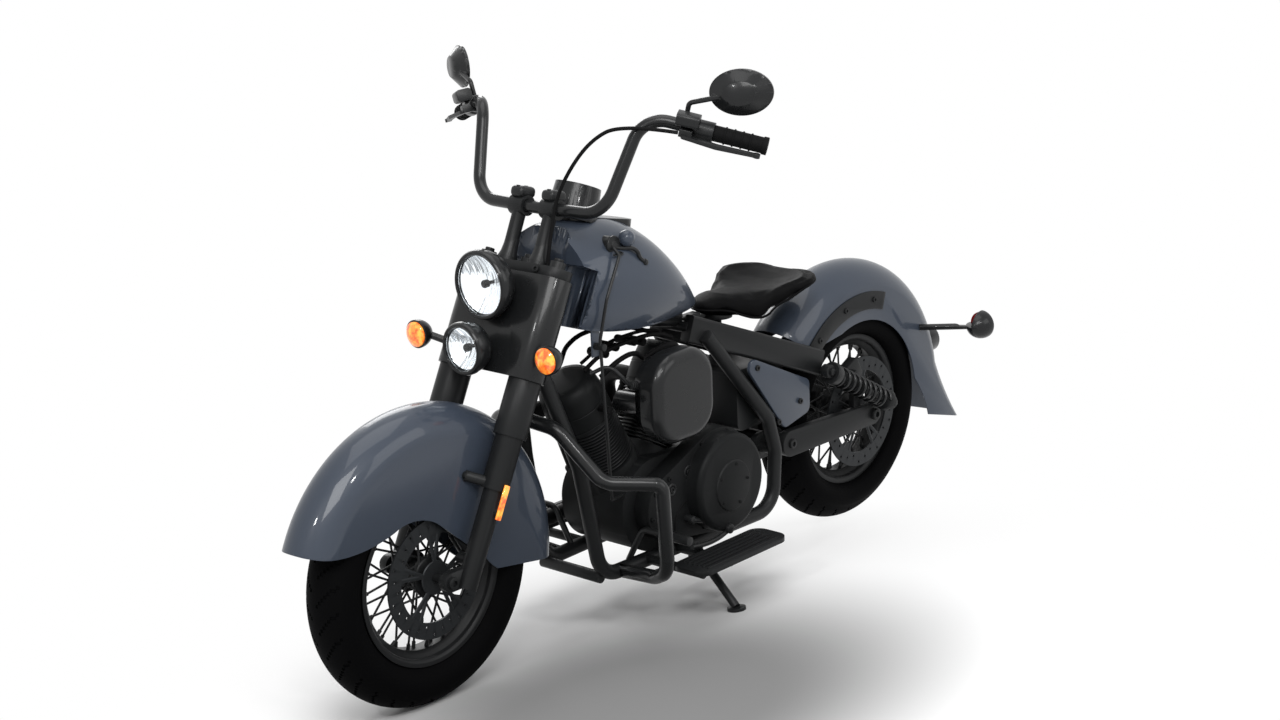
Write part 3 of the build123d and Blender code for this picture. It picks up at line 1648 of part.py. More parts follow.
# Fuel tank: sections along its length, with a tunnel for the backbone
# and a recess on each side for the fork at full lock.
# Columns: share of length from the rear, share of half width at the sides, at the shoulders
# and at the base, and shares of the height at the base, sides, shoulders and top.
tank_section_shares = (
    (0.00, 0.16, 0.09, 0.10, 0.00, 0.03, 0.05, 0.06),
    (0.12, 0.48, 0.34, 0.33, 0.00, 0.07, 0.20, 0.25),
    (0.32, 0.84, 0.58, 0.62, 0.03, 0.22, 0.56, 0.66),
    (0.56, 1.00, 0.66, 0.80, 0.07, 0.36, 0.83, 0.95),
    (0.80, 0.96, 0.60, 0.82, 0.14, 0.42, 0.87, 1.00),
    (1.00, 0.80, 0.48, 0.66, 0.26, 0.50, 0.86, 0.98),
)
with BuildPart() as fuel_tank:
    tank_length = tank_front_x - tank_rear_x
    tank_height = tank_top_z - tank_base_z
    for along, side, shoulder, base, base_rise, side_rise, shoulder_rise, top_rise in tank_section_shares:
        station = Plane(
            origin=(tank_rear_x + along * tank_length, 0, tank_base_z), x_dir=(0, 1, 0), z_dir=(1, 0, 0)
        )
        side_at = side * tank_width / 2
        shoulder_at = (shoulder * tank_width / 2, shoulder_rise * tank_height)
        base_at = (base * tank_width / 2, base_rise * tank_height)
        with BuildSketch(station):
            with BuildLine():
                Line((-base_at[0], base_at[1]), base_at)
                ThreePointArc(base_at, (side_at, side_rise * tank_height), shoulder_at)
                ThreePointArc(shoulder_at, (0, top_rise * tank_height), (-shoulder_at[0], shoulder_at[1]))
                ThreePointArc(
                    (-shoulder_at[0], shoulder_at[1]),
                    (-side_at, side_rise * tank_height),
                    (-base_at[0], base_at[1]),
                )
            make_face()
    loft()
    backbone_head = on_fork(-stem_setback, 0, backbone_height)
    backbone_rear = Vector(backbone_rear_x, 0, backbone_rear_z)
    tunnel_way = (backbone_rear - backbone_head).normalized()
    add_rod(
        backbone_head,
        backbone_rear + tunnel_way * overrun,
        backbone_radius + tunnel_margin,
        Mode.SUBTRACT,
    )
    nose_back = stem_boss_radius + stem_setback + tank_nose_margin
    nose_low = on_fork(-nose_back, 0, nacelle_start)
    nose_high = on_fork(-nose_back, 0, clamp_top + nacelle_gap)
    with BuildSketch(side_plane(overrun)):
        with BuildLine():
            Polyline(
                (nose_low.X, nose_low.Z),
                (nose_high.X, nose_high.Z),
                (nose_high.X, nose_high.Z + overrun),
                (nose_low.X + overrun, nose_high.Z + overrun),
                (nose_low.X + overrun, nose_low.Z),
                close=True,
            )
        make_face()
    extrude(amount=2 * overrun, mode=Mode.SUBTRACT)
    for side in (1, -1):
        turned_leg = Vector(stem_setback, side * half_legs, 0).rotate(Axis.Z, side * steer_limit)
        recess_top = clamp_top + cap_height + fork_clearance
        recess_low = on_fork(turned_leg.X - stem_setback, turned_leg.Y, nacelle_start)
        recess_high = on_fork(turned_leg.X - stem_setback, turned_leg.Y, recess_top)
        add_rod(recess_low, recess_high, nacelle_radius + fork_clearance, Mode.SUBTRACT)
        for turn in (steer_limit / 2, steer_limit):
            turned_riser = Vector(stem_setback, side * riser_half, 0).rotate(Axis.Z, side * turn)
            riser_back = turned_riser.X - stem_setback
            add_rod(
                on_fork(riser_back, turned_riser.Y, clamp_top),
                on_fork(riser_back, turned_riser.Y, clamp_top + overrun),
                riser_foot_radius + riser_clearance,
                Mode.SUBTRACT,
            )
fuel_tank.part.label = "fuel_tank"

# Filler cap, speedometer housing and console, seated on the tank
with BuildPart() as gauge_pod:
    pod_way = Vector(-sin(radians(pod_tilt)), 0, cos(radians(pod_tilt)))
    POD = Plane(origin=Vector(pod_x, 0, pod_z), x_dir=(0, 1, 0), z_dir=pod_way)
    with BuildSketch(POD):
        Circle(pod_rim_radius)
    with BuildSketch(POD.offset(-pod_length)):
        Circle(pod_foot_radius)
    loft()
    with BuildSketch(POD):
        Circle(pod_rim_radius - pod_wall)
    extrude(amount=-pod_dial_inset, mode=Mode.SUBTRACT)
    console_way = Vector(-sin(radians(console_tilt)), 0, cos(radians(console_tilt)))
    CONSOLE = Plane(
        origin=Vector((console_front_x + console_rear_x) / 2, 0, console_z),
        x_dir=(0, 1, 0),
        z_dir=console_way,
    )
    with BuildSketch(CONSOLE):
        with Locations((0, 0)):
            SlotOverall(console_front_x - console_rear_x, console_width, rotation=90)
    extrude(amount=-console_height)
    add(fuel_tank.part, mode=Mode.SUBTRACT)
gauge_pod.part.label = "gauge_pod"

# Hand shift: knob and lever on the tank's side, with a long rod down to the gearbox
with BuildPart() as hand_shift:
    knob_spot = Vector(knob_x, knob_side, knob_z)
    shift_pivot = Vector(shift_pivot_x, shift_pivot_side, shift_pivot_z)
    add_rod(shift_pivot, shift_pivot + Vector(0, shift_head_width, 0), shift_plate_radius)
    add_rod(shift_pivot + Vector(0, shift_head_width / 2, 0), knob_spot, shift_lever_radius)
    with Locations(knob_spot):
        Sphere(knob_radius)
    add_tube(
        [
            shift_pivot + Vector(0, shift_head_width - shift_rod_radius, 0),
            Vector(shift_crank_x, shift_crank_side, shift_crank_z),
            Vector(shift_rod_mid_x, shift_rod_out, shift_rod_mid_z),
            Vector(shift_clip_x + shift_clip_ahead, shift_foot_side, shift_clip_z),
            Vector(shift_foot_x, shift_foot_side, shift_foot_z),
        ],
        [shift_crank_bend, shift_bend, shift_bend],
        shift_rod_radius,
    )
    add(fuel_tank.part, mode=Mode.SUBTRACT)
    add_rod(
        (shift_foot_x, shift_foot_side, shift_foot_z),
        (crank_x + case_radius, case_left, shift_foot_z - shift_foot_drop),
        shift_rod_radius,
    )
hand_shift.part.label = "hand_shift"

# Saddle, its post and its nose bracket
with BuildPart() as seat:
    with BuildSketch(side_plane(saddle_width)):
        with BuildLine():
            nose_low = (saddle_front_x + saddle_margin, saddle_z + saddle_thickness / 4)
            back_low = (saddle_rear_x + saddle_thickness, saddle_back_low_z)
            back_high = (saddle_rear_x, saddle_back_z - saddle_thickness / 4)
            crest = (saddle_rear_x + saddle_thickness, saddle_back_z)
            nose_high = (saddle_front_x - saddle_thickness, saddle_nose_z)
            ThreePointArc(nose_low, ((saddle_front_x + saddle_rear_x) / 2, saddle_low_z), back_low)
            Line(back_low, back_high)
            Line(back_high, crest)
            ThreePointArc(crest, ((saddle_front_x + saddle_rear_x) / 2, saddle_dip_z), nose_high)
            Line(nose_high, nose_low)
        make_face()
    extrude(amount=2 * saddle_width)
    with BuildSketch(Plane.XY.offset(saddle_low_z)):
        with Locations((saddle_front_x - saddle_nose_width / 2, 0)):
            Circle(saddle_nose_width / 2)
        with Locations(
            (saddle_rear_x + saddle_hip_radius - saddle_margin, saddle_hip_half),
            (saddle_rear_x + saddle_hip_radius - saddle_margin, -saddle_hip_half),
        ):
            Circle(saddle_hip_radius)
        make_hull()
    extrude(amount=saddle_back_z - saddle_low_z, mode=Mode.INTERSECT)
seat.part.label = "seat"

with BuildPart() as seat_mount:
    add_rod((post_x, 0, post_cross_z), (post_x, 0, saddle_z + saddle_thickness), post_radius)
    add_rod(
        (post_x, 0, saddle_low_z - post_plate_drop),
        (post_x, 0, saddle_z + saddle_thickness),
        post_plate_radius,
    )
    with BuildSketch(Plane.XY.offset(saddle_rail_front_z)):
        with Locations((backbone_rear_x, 0)):
            Rectangle(seat_strap_length, post_radius * 2, align=(Align.MAX, Align.CENTER))
    extrude(amount=saddle_thickness / 2)
    add(seat.part, mode=Mode.SUBTRACT)
    add(frame.part, mode=Mode.SUBTRACT)
seat_mount.part.label = "seat_mount"

# Engine guard bars: one tube from the left cradle rail, up across the frame, to the right
guard_half_points = [
    (guard_bar_end_x, cradle_half, cradle_z),
    (guard_bar_foot_x, guard_bar_foot_half, guard_bar_foot_z),
    (guard_bar_low_x, guard_bar_elbow_half, guard_bar_low_z),
    (guard_bar_elbow_x, guard_bar_elbow_half, guard_bar_elbow_z),
    (guard_bar_knee_x, guard_bar_knee_half, guard_bar_knee_z),
    (guard_bar_shoulder_x, guard_bar_shoulder_half, guard_bar_shoulder_z),
]
with BuildPart() as crash_bar:
    left_points = [Vector(*point) for point in guard_half_points]
    right_points = [opposite(point) for point in reversed(left_points)]
    half_bends = [guard_bar_bend, guard_bar_bend, guard_bar_elbow_bend, guard_bar_bend, guard_bar_bend]
    add_tube(
        left_points + [Vector(guard_bar_centre_x, 0, guard_bar_centre_z)] + right_points,
        half_bends + [guard_bar_bend] + half_bends[::-1],
        guard_bar_radius,
    )
    add(frame.part, mode=Mode.SUBTRACT)
crash_bar.part.label = "crash_bar"

# Footboards on arms from the cradle rails
with BuildPart() as footboards:
    board_middle_x = (board_front_x + board_rear_x) / 2
    board_middle_half = (board_inner + board_outer) / 2
    with BuildSketch(Plane.XY.offset(board_z - board_thickness)):
        with Locations((board_middle_x, board_middle_half)):
            RectangleRounded(board_front_x - board_rear_x, board_outer - board_inner, board_round)
    extrude(amount=board_thickness)
    with BuildSketch(Plane.XY.offset(board_z)):
        with Locations((board_middle_x, board_middle_half)):
            with GridLocations(0, (board_outer - board_inner) / (board_rib_count + 1), 1, board_rib_count):
                SlotOverall(board_front_x - board_rear_x - 2 * board_round, board_rib_width)
    extrude(amount=board_rib_height)
    for arm_x in board_arm_x:
        add_rod(
            (arm_x, board_arm_start, board_z - board_thickness - board_arm_radius + board_arm_bite),
            (arm_x, board_outer - board_round, board_z - board_thickness - board_arm_radius + board_arm_bite),
            board_arm_radius,
        )
    mirror(about=Plane.XZ)
    add(frame.part, mode=Mode.SUBTRACT)
footboards.part.label = "footboards"

with BuildPart() as foot_controls:
    add_tube(
        [
            Vector(pedal_x, cradle_half, pedal_foot_z),
            Vector(pedal_x, pedal_half, pedal_high_z),
            Vector(pedal_x, pedal_arm_half, pedal_high_z),
        ],
        [pedal_bend],
        pedal_radius,
    )
    add_rod((pedal_x, pedal_arm_half, pedal_high_z), (pedal_x, pedal_end_half, pedal_high_z), peg_radius)
    mirror(about=Plane.XZ)
    add(frame.part, mode=Mode.SUBTRACT)
foot_controls.part.label = "foot_controls"

# Side covers, held by lugs on the down rails
with BuildPart() as side_covers:
    with BuildSketch(side_plane(cover_half)):
        with BuildLine():
            FilletPolyline(
                (cover_front_x, cover_front_z),
                (cover_rear_x, cover_rear_top_z),
                (cover_rear_x, cover_rear_low_z),
                (cover_low_x, cover_low_z),
                radius=cover_round,
                close=True,
            )
        make_face()
    extrude(amount=cover_thickness)
    mirror(about=Plane.XZ)
side_covers.part.label = "side_covers"

with BuildPart() as battery_box:
    with BuildSketch(side_plane(box_half)):
        with Locations(((box_front_x + box_rear_x) / 2, (box_base_z + box_top_z) / 2)):
            RectangleRounded(box_front_x - box_rear_x, box_top_z - box_base_z, cover_round)
    extrude(amount=2 * box_half)
    for lug_z in (box_base_z + cover_round, box_top_z - cover_round):
        lug_half = cover_half - cover_thickness
        add_rod(
            ((box_front_x + box_rear_x) / 2, -lug_half, lug_z),
            ((box_front_x + box_rear_x) / 2, lug_half, lug_z),
            cover_lug_radius,
        )
    add(frame.part, mode=Mode.SUBTRACT)
battery_box.part.label = "battery_box"

# Side stand, down, with its pad flat on the ground under the leaning machine
with BuildPart() as side_stand:
    add_rod(
        stand_pivot - stand_axis * (stand_eye_width / 2),
        stand_pivot + stand_axis * (stand_eye_width / 2),
        stand_eye_radius,
    )
    add_rod(stand_pivot, stand_foot + ground_normal * stand_pad_thickness, stand_leg_radius)
    add_rod(
        stand_pivot - stand_axis * stand_eye_width,
        stand_pivot + stand_axis * stand_eye_width,
        stand_pin_radius + stand_pin_gap,
        Mode.SUBTRACT,
    )
    add_rod(stand_foot, stand_foot + ground_normal * stand_pad_thickness, stand_pad_radius)
    with BuildSketch(Plane(origin=stand_foot, z_dir=-ground_normal)):
        Circle(stand_pad_radius)
    extrude(amount=overrun, mode=Mode.SUBTRACT)
side_stand.part.label = "side_stand"

# Lean the machine onto its stand and write each piece
pieces = [
    frame, crankcase, cylinders, cylinder_heads, primary_cover, air_cleaner, exhaust, fuel_tank,
    gauge_pod, hand_shift, seat, seat_mount, rear_fender, fender_struts, side_covers, battery_box,
    swingarm, shocks, rear_caliper, footboards, foot_controls, crash_bar, drive_belt, rear_lamps,
    side_stand, triple_clamps, fork_covers, fork_legs, headlamps, lamp_lenses, front_signals,
    amber_lenses, handlebar, grips, hand_controls, mirrors, clutch_cable, front_fender,
    front_caliper, front_tyre, front_wheel, front_disc, rear_tyre, rear_wheel, rear_disc,
]
LEANED = (
    Location((0, 0, crown_radius))
    * Location((0, 0, 0), (-lean, 0, 0))
    * Location((0, 0, -crown_radius))
)
leaned_boxes = [piece.part.moved(LEANED).bounding_box() for piece in pieces]
low = Vector(*[min(getattr(box.min, axis) for box in leaned_boxes) for axis in "XYZ"])
high = Vector(*[max(getattr(box.max, axis) for box in leaned_boxes) for axis in "XYZ"])
PARKED = Location((-(low.X + high.X) / 2, -(low.Y + high.Y) / 2, -low.Z)) * LEANED
print("parked shift", PARKED.position, "size", high - low)
for piece in pieces:
    parked = piece.part.moved(PARKED)
    parked.label = piece.part.label
    export_step(parked, f"parts/{parked.label}.step")
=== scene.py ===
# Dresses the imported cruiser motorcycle: paint, lamps, tyres, engine detail, saddle, studio.
# Upright sizes are in metres with the rear axle over X = 0 and the ground at Z = 0.
# PARK leans a finished mesh onto the side stand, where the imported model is.

import json
from math import asin, atan2, cos, pi, radians, sin
import bmesh
import bpy
from mathutils import Matrix, Vector

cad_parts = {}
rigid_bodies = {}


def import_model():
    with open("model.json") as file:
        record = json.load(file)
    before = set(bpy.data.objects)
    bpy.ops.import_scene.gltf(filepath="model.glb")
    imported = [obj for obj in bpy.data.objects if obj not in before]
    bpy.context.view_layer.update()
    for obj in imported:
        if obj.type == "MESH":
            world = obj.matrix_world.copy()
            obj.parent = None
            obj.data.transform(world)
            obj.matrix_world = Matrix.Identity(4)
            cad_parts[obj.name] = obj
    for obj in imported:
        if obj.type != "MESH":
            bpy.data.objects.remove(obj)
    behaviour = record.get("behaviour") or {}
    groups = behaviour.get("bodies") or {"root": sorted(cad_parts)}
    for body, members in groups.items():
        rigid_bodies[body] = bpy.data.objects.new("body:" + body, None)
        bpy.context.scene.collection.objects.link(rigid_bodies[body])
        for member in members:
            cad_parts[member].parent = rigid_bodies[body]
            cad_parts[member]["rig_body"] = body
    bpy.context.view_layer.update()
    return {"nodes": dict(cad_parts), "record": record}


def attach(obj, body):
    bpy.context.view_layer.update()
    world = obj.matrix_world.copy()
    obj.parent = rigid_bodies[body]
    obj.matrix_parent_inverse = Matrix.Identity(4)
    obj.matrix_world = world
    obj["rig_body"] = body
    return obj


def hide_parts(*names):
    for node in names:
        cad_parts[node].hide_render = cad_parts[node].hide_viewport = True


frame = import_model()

nodes = frame["nodes"]

# Sizes that the wheels, the engine and the front end share
LEAN = radians(-8)
RAKE = radians(27)
WHEEL_RADIUS = 0.320
WHEELBASE = 1.628
# The radius of the tyre's crown, on which the machine rolls over to its stand
CROWN = 0.070
FORK_FOOT = (1.575, 0, WHEEL_RADIUS)
FORK_WAY = (-sin(RAKE), 0, cos(RAKE))
FORK_AHEAD = (cos(RAKE), 0, sin(RAKE))
CRANK = Vector((0.915, 0, 0.308))
BANK_ANGLE = radians(29)
UP = (0, 0, 1)
LEFT = (0, 1, 0)
AHEAD = (1, 0, 0)
BACK = (-1, 0, 0)
PARK_SHIFT = (-0.732622, -0.178281, CROWN)
PARK = (
    Matrix.Translation(PARK_SHIFT)
    @ Matrix.Rotation(LEAN, 4, "X")
    @ Matrix.Translation((0, 0, -CROWN))
)


# Materials: shared node groups, and the finishes made with them
def new_group(name, inputs, outputs):
    """A node group with its named sockets, and its input and output nodes."""
    tree = bpy.data.node_groups.new(name, "ShaderNodeTree")
    for socket, kind, value in inputs:
        item = tree.interface.new_socket(socket, in_out="INPUT", socket_type=kind)
        item.default_value = value
    for socket, kind in outputs:
        tree.interface.new_socket(socket, in_out="OUTPUT", socket_type=kind)
    return tree, tree.nodes.new("NodeGroupInput"), tree.nodes.new("NodeGroupOutput")


def add_node(tree, kind, settings=(), **values):
    """A node with its settings and unlinked input values."""
    node = tree.nodes.new(kind)
    for name, value in settings:
        setattr(node, name, value)
    return valued(node, **values)


def valued(node, **values):
    """Sets a node's unlinked inputs by name, with underscores for spaces."""
    for name, value in values.items():
        node.inputs[name.replace("_", " ")].default_value = value
    return node


def linked(tree, *pairs):
    """Links each output to its input."""
    for start, end in pairs:
        tree.links.new(start, end)


def new_material(name):
    """A fresh material with its node tree and its surface shader."""
    material = bpy.data.materials.new(name)
    material.use_nodes = True
    return material, material.node_tree, material.node_tree.nodes["Principled BSDF"]


def surface_wear_group():
    """Colour drift, edge wear and fine roughness, from Object coordinates."""
    tree, given, out = new_group(
        "surface wear",
        [
            ("Color", "NodeSocketColor", (0.1, 0.1, 0.1, 1)),
            ("Edge Color", "NodeSocketColor", (0.3, 0.3, 0.3, 1)),
            ("Roughness", "NodeSocketFloat", 0.4),
            ("Drift", "NodeSocketFloat", 0.1),
            ("Scale", "NodeSocketFloat", 40.0),
            ("Grain", "NodeSocketFloat", 0.1),
        ],
        [("Color", "NodeSocketColor"), ("Roughness", "NodeSocketFloat"), ("Height", "NodeSocketFloat")],
    )
    place = add_node(tree, "ShaderNodeTexCoord")
    cloud = add_node(tree, "ShaderNodeTexNoise", Detail=4.0, Roughness=0.55)
    fine = add_node(tree, "ShaderNodeTexNoise", Scale=900.0, Detail=3.0)
    spread = add_node(tree, "ShaderNodeMapRange", To_Min=-0.5, To_Max=0.5)
    amount = add_node(tree, "ShaderNodeMath", [("operation", "MULTIPLY")])
    value = add_node(tree, "ShaderNodeMath", [("operation", "ADD")])
    value.inputs[1].default_value = 1.0
    tint = add_node(tree, "ShaderNodeHueSaturation")
    shape = add_node(tree, "ShaderNodeNewGeometry")
    edge = add_node(tree, "ShaderNodeMapRange", From_Min=0.56, From_Max=0.64, To_Max=0.35)
    worn = add_node(tree, "ShaderNodeMix", [("data_type", "RGBA")])
    rough = add_node(tree, "ShaderNodeMath", [("operation", "MULTIPLY_ADD")])
    rough.inputs[1].default_value = 0.6
    height = add_node(tree, "ShaderNodeMath", [("operation", "MULTIPLY")])
    linked(
        tree,
        (place.outputs["Object"], cloud.inputs["Vector"]),
        (given.outputs["Scale"], cloud.inputs["Scale"]),
        (place.outputs["Object"], fine.inputs["Vector"]),
        (cloud.outputs["Fac"], spread.inputs["Value"]),
        (spread.outputs["Result"], amount.inputs[0]),
        (given.outputs["Drift"], amount.inputs[1]),
        (amount.outputs[0], value.inputs[0]),
        (given.outputs["Color"], tint.inputs["Color"]),
        (value.outputs[0], tint.inputs["Value"]),
        (shape.outputs["Pointiness"], edge.inputs["Value"]),
        (edge.outputs["Result"], worn.inputs["Factor"]),
        (tint.outputs["Color"], worn.inputs[6]),
        (given.outputs["Edge Color"], worn.inputs[7]),
        (worn.outputs[2], out.inputs["Color"]),
        (amount.outputs[0], rough.inputs[0]),
        (given.outputs["Roughness"], rough.inputs[2]),
        (rough.outputs[0], out.inputs["Roughness"]),
        (fine.outputs["Fac"], height.inputs[0]),
        (given.outputs["Grain"], height.inputs[1]),
        (height.outputs[0], out.inputs["Height"]),
    )
    return tree


WEAR = surface_wear_group()


def finish(name, color, roughness, drift=0.1, scale=40.0, grain=0.1, bump=0.0002, metallic=0.0, coat=0.0,
           shine=0.3):
    """A material whose colour, roughness and bump come from the shared wear group."""
    material, tree, shader = new_material(name)
    wear = tree.nodes.new("ShaderNodeGroup")
    wear.node_tree = WEAR
    edge = [1.6 * part + 0.02 for part in color]
    valued(wear, Color=(*color, 1), Edge_Color=(*edge, 1), Roughness=roughness, Drift=drift, Scale=scale,
           Grain=grain)
    bumps = add_node(tree, "ShaderNodeBump", Distance=bump, Strength=0.6)
    linked(
        tree,
        (wear.outputs["Color"], shader.inputs["Base Color"]),
        (wear.outputs["Roughness"], shader.inputs["Roughness"]),
        (wear.outputs["Height"], bumps.inputs["Height"]),
        (bumps.outputs["Normal"], shader.inputs["Normal"]),
    )
    valued(shader, Metallic=metallic, Specular_IOR_Level=shine, Coat_Weight=coat, Coat_Roughness=0.05)
    return material


slate_paint = finish(
    "slate paint", (0.034, 0.043, 0.060), 0.36, drift=0.05, grain=0.05, coat=0.4, shine=0.16)
satin_black = finish("satin black", (0.0095, 0.0100, 0.0105), 0.40, drift=0.12, shine=0.17)
engine_black = finish(
    "engine enamel", (0.0075, 0.0080, 0.0083), 0.46, drift=0.16, scale=25.0, grain=0.3, shine=0.08)
gloss_black = finish("gloss black", (0.008, 0.0085, 0.009), 0.28, drift=0.08, coat=0.15, shine=0.2)
heat_black = finish("heat black", (0.006, 0.006, 0.0063), 0.5, drift=0.2, grain=0.4, shine=0.10)
control_black = finish("control black", (0.0110, 0.0115, 0.0120), 0.34, drift=0.12, shine=0.22)
rubber_black = finish("rubber", (0.004, 0.004, 0.0042), 0.7, drift=0.2, grain=0.6, shine=0.08)
tyre_black = finish(
    "tyre rubber", (0.0016, 0.0016, 0.0018), 0.70, drift=0.25, scale=12.0, grain=0.5, shine=0.03)
disc_steel = finish("disc steel", (0.017, 0.0185, 0.020), 0.38, drift=0.2, metallic=0.4, shine=0.12)
leather = finish(
    "saddle leather", (0.0020, 0.0020, 0.0022), 0.50, drift=0.2, grain=1.0, bump=0.0006, shine=0.045)

finishes = {
    "paint": slate_paint, "frame_black": satin_black, "engine_black": engine_black,
    "gloss_black": gloss_black, "exhaust_black": heat_black, "control_metal": control_black,
    "seat_leather": leather,
    "belt_rubber": rubber_black, "grip_rubber": rubber_black, "tyre_rubber": tyre_black,
    "rim_black": satin_black, "disc_steel": disc_steel,
}


def clear_glass():
    """Clear lamp glass with a faint tint."""
    material, _, shader = new_material("lamp glass")
    valued(shader, Base_Color=(0.95, 0.97, 0.98, 1), Roughness=0.03, Transmission_Weight=1.0, IOR=1.3)
    return material


finishes["clear_glass"] = clear_glass()
finishes["amber_plastic"] = finish("amber lens", (0.75, 0.16, 0.01), 0.2, drift=0.1, coat=0.6)

slot_of = {row["node"]: row["material_slot"] for row in frame["record"]["subparts"]}
for name, node in nodes.items():
    node.data.materials.clear()
    node.data.materials.append(finishes[slot_of[name]])

# Making by hand: profiles, spun pieces, copies and finishing
def only(piece):
    """Selects one object alone and makes it active."""
    bpy.ops.object.select_all(action="DESELECT")
    piece.select_set(True)
    bpy.context.view_layer.objects.active = piece
    return piece


def cleaned(piece, gap=1e-5):
    """Merges doubled points and turns all faces outwards."""
    only(piece)
    bpy.ops.object.mode_set(mode="EDIT")
    bpy.ops.mesh.select_all(action="SELECT")
    bpy.ops.mesh.remove_doubles(threshold=gap)
    bpy.ops.mesh.normals_make_consistent(inside=False)
    bpy.ops.object.mode_set(mode="OBJECT")
    return piece


def drawn(points):
    """A line of edges, extruded point by point from a plane merged to its centre."""
    bpy.ops.object.select_all(action="DESELECT")
    bpy.ops.mesh.primitive_plane_add(size=0.01, location=points[0])
    bpy.ops.object.mode_set(mode="EDIT")
    bpy.ops.mesh.merge(type="CENTER")
    for near, far in zip(points, points[1:]):
        step = Vector(far) - Vector(near)
        bpy.ops.mesh.extrude_vertices_move(TRANSFORM_OT_translate={"value": step})
    bpy.ops.object.mode_set(mode="OBJECT")
    line = bpy.context.object
    bpy.ops.object.transform_apply()
    return line


def spun(points, centre, axis, steps=96, closed=False):
    """A profile turned about an axis; a closed profile joins its last point to its first."""
    line = drawn(points + points[:1] if closed else points)
    bpy.ops.object.mode_set(mode="EDIT")
    bpy.ops.mesh.select_all(action="SELECT")
    bpy.ops.mesh.spin(steps=steps, angle=2 * pi, center=centre, axis=axis)
    bpy.ops.object.mode_set(mode="OBJECT")
    return cleaned(line)


def modified(piece, kind, **settings):
    """Adds a modifier with its settings and applies it."""
    only(piece)
    modifier = piece.modifiers.new(kind.lower(), kind)
    for name, value in settings.items():
        setattr(modifier, name, value)
    bpy.ops.object.modifier_apply(modifier=modifier.name)
    return piece


def softened(piece, width, segments=2, angle=35):
    """Rounds the sharp edges and shades the rest smooth."""
    if width:
        modified(
            piece, "BEVEL", width=width, segments=segments, limit_method="ANGLE", angle_limit=radians(angle))
    only(piece)
    bpy.ops.object.shade_smooth_by_angle(angle=radians(angle))
    return piece


def copied(piece, places):
    """Copies of one model at each place, joined into one mesh."""
    made = []
    for place in places:
        twin = piece.copy()
        twin.data = piece.data.copy()
        twin.data.transform(place)
        bpy.context.scene.collection.objects.link(twin)
        made.append(twin)
    bpy.data.objects.remove(piece)
    return joined(made)


def joined(made):
    """Several objects as one mesh."""
    only(made[0])
    for other in made[1:]:
        other.select_set(True)
    if len(made) > 1:
        bpy.ops.object.join()
    return made[0]


def rod(start, end, radius, sides=24):
    """A closed cylinder from one point to another."""
    start, end = Vector(start), Vector(end)
    way = end - start
    bpy.ops.object.select_all(action="DESELECT")
    bpy.ops.mesh.primitive_cylinder_add(
        vertices=sides, radius=radius, depth=way.length, location=(start + end) / 2,
        rotation=way.to_track_quat("Z", "Y").to_euler())
    bpy.ops.object.transform_apply()
    return bpy.context.object


def block(size, centre=(0, 0, 0)):
    """A box of this size about this centre."""
    bpy.ops.object.select_all(action="DESELECT")
    bpy.ops.mesh.primitive_cube_add(size=1, scale=size, location=centre)
    bpy.ops.object.transform_apply()
    return bpy.context.object


def hose(points, radius, sides=6, steps=10, looped=False, drawn_tight=False):
    """A round hose or rod through its points, or one that its points draw towards them."""
    bpy.ops.object.select_all(action="DESELECT")
    bpy.ops.curve.primitive_nurbs_path_add(location=(0, 0, 0))
    path = bpy.context.object
    path.data.splines.clear()
    spline = path.data.splines.new("NURBS" if drawn_tight else "BEZIER")
    if drawn_tight:
        spline.points.add(len(points) - 1)
        for knot, spot in zip(spline.points, points):
            knot.co = (*spot, 1)
        spline.order_u = 3
        spline.use_endpoint_u = True
    else:
        spline.bezier_points.add(len(points) - 1)
        for knot, spot in zip(spline.bezier_points, points):
            knot.co = spot
            knot.handle_left_type = knot.handle_right_type = "AUTO"
        spline.use_cyclic_u = looped
    path.data.resolution_u = steps
    path.data.bevel_depth = radius
    path.data.bevel_resolution = sides
    path.data.use_fill_caps = not looped
    bpy.ops.object.convert(target="MESH")
    return cleaned(bpy.context.object)


def fitted(piece, name, body, slot, material=None, replaced=(), parked=True):
    """Leans a finished piece into place, names it and lets it ride."""
    only(piece)
    bpy.ops.object.transform_apply()
    if parked:
        piece.data.transform(PARK)
    piece.name = name
    piece.data.name = name
    piece.data.materials.clear()
    piece.data.materials.append(material or finishes[slot])
    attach(piece, body)
    if replaced:
        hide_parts(*replaced)
    return piece


def refined(node, name, width):
    """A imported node's shape with merged points and rounded edges, in its place."""
    source = nodes[node]
    twin = bpy.data.objects.new(name, source.data.copy())
    bpy.context.scene.collection.objects.link(twin)
    cleaned(twin, 2e-5)
    modified(twin, "DECIMATE", decimate_type="DISSOLVE", angle_limit=radians(0.5))
    softened(twin, width, angle=30)
    return fitted(twin, name, source["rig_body"], slot_of[node], replaced=[node], parked=False)


def ring_points(centre, pairs):
    """Profile points from pairs of radius and distance to the left, about an axle."""
    return [(centre[0] + radius, side, centre[2]) for radius, side in pairs]


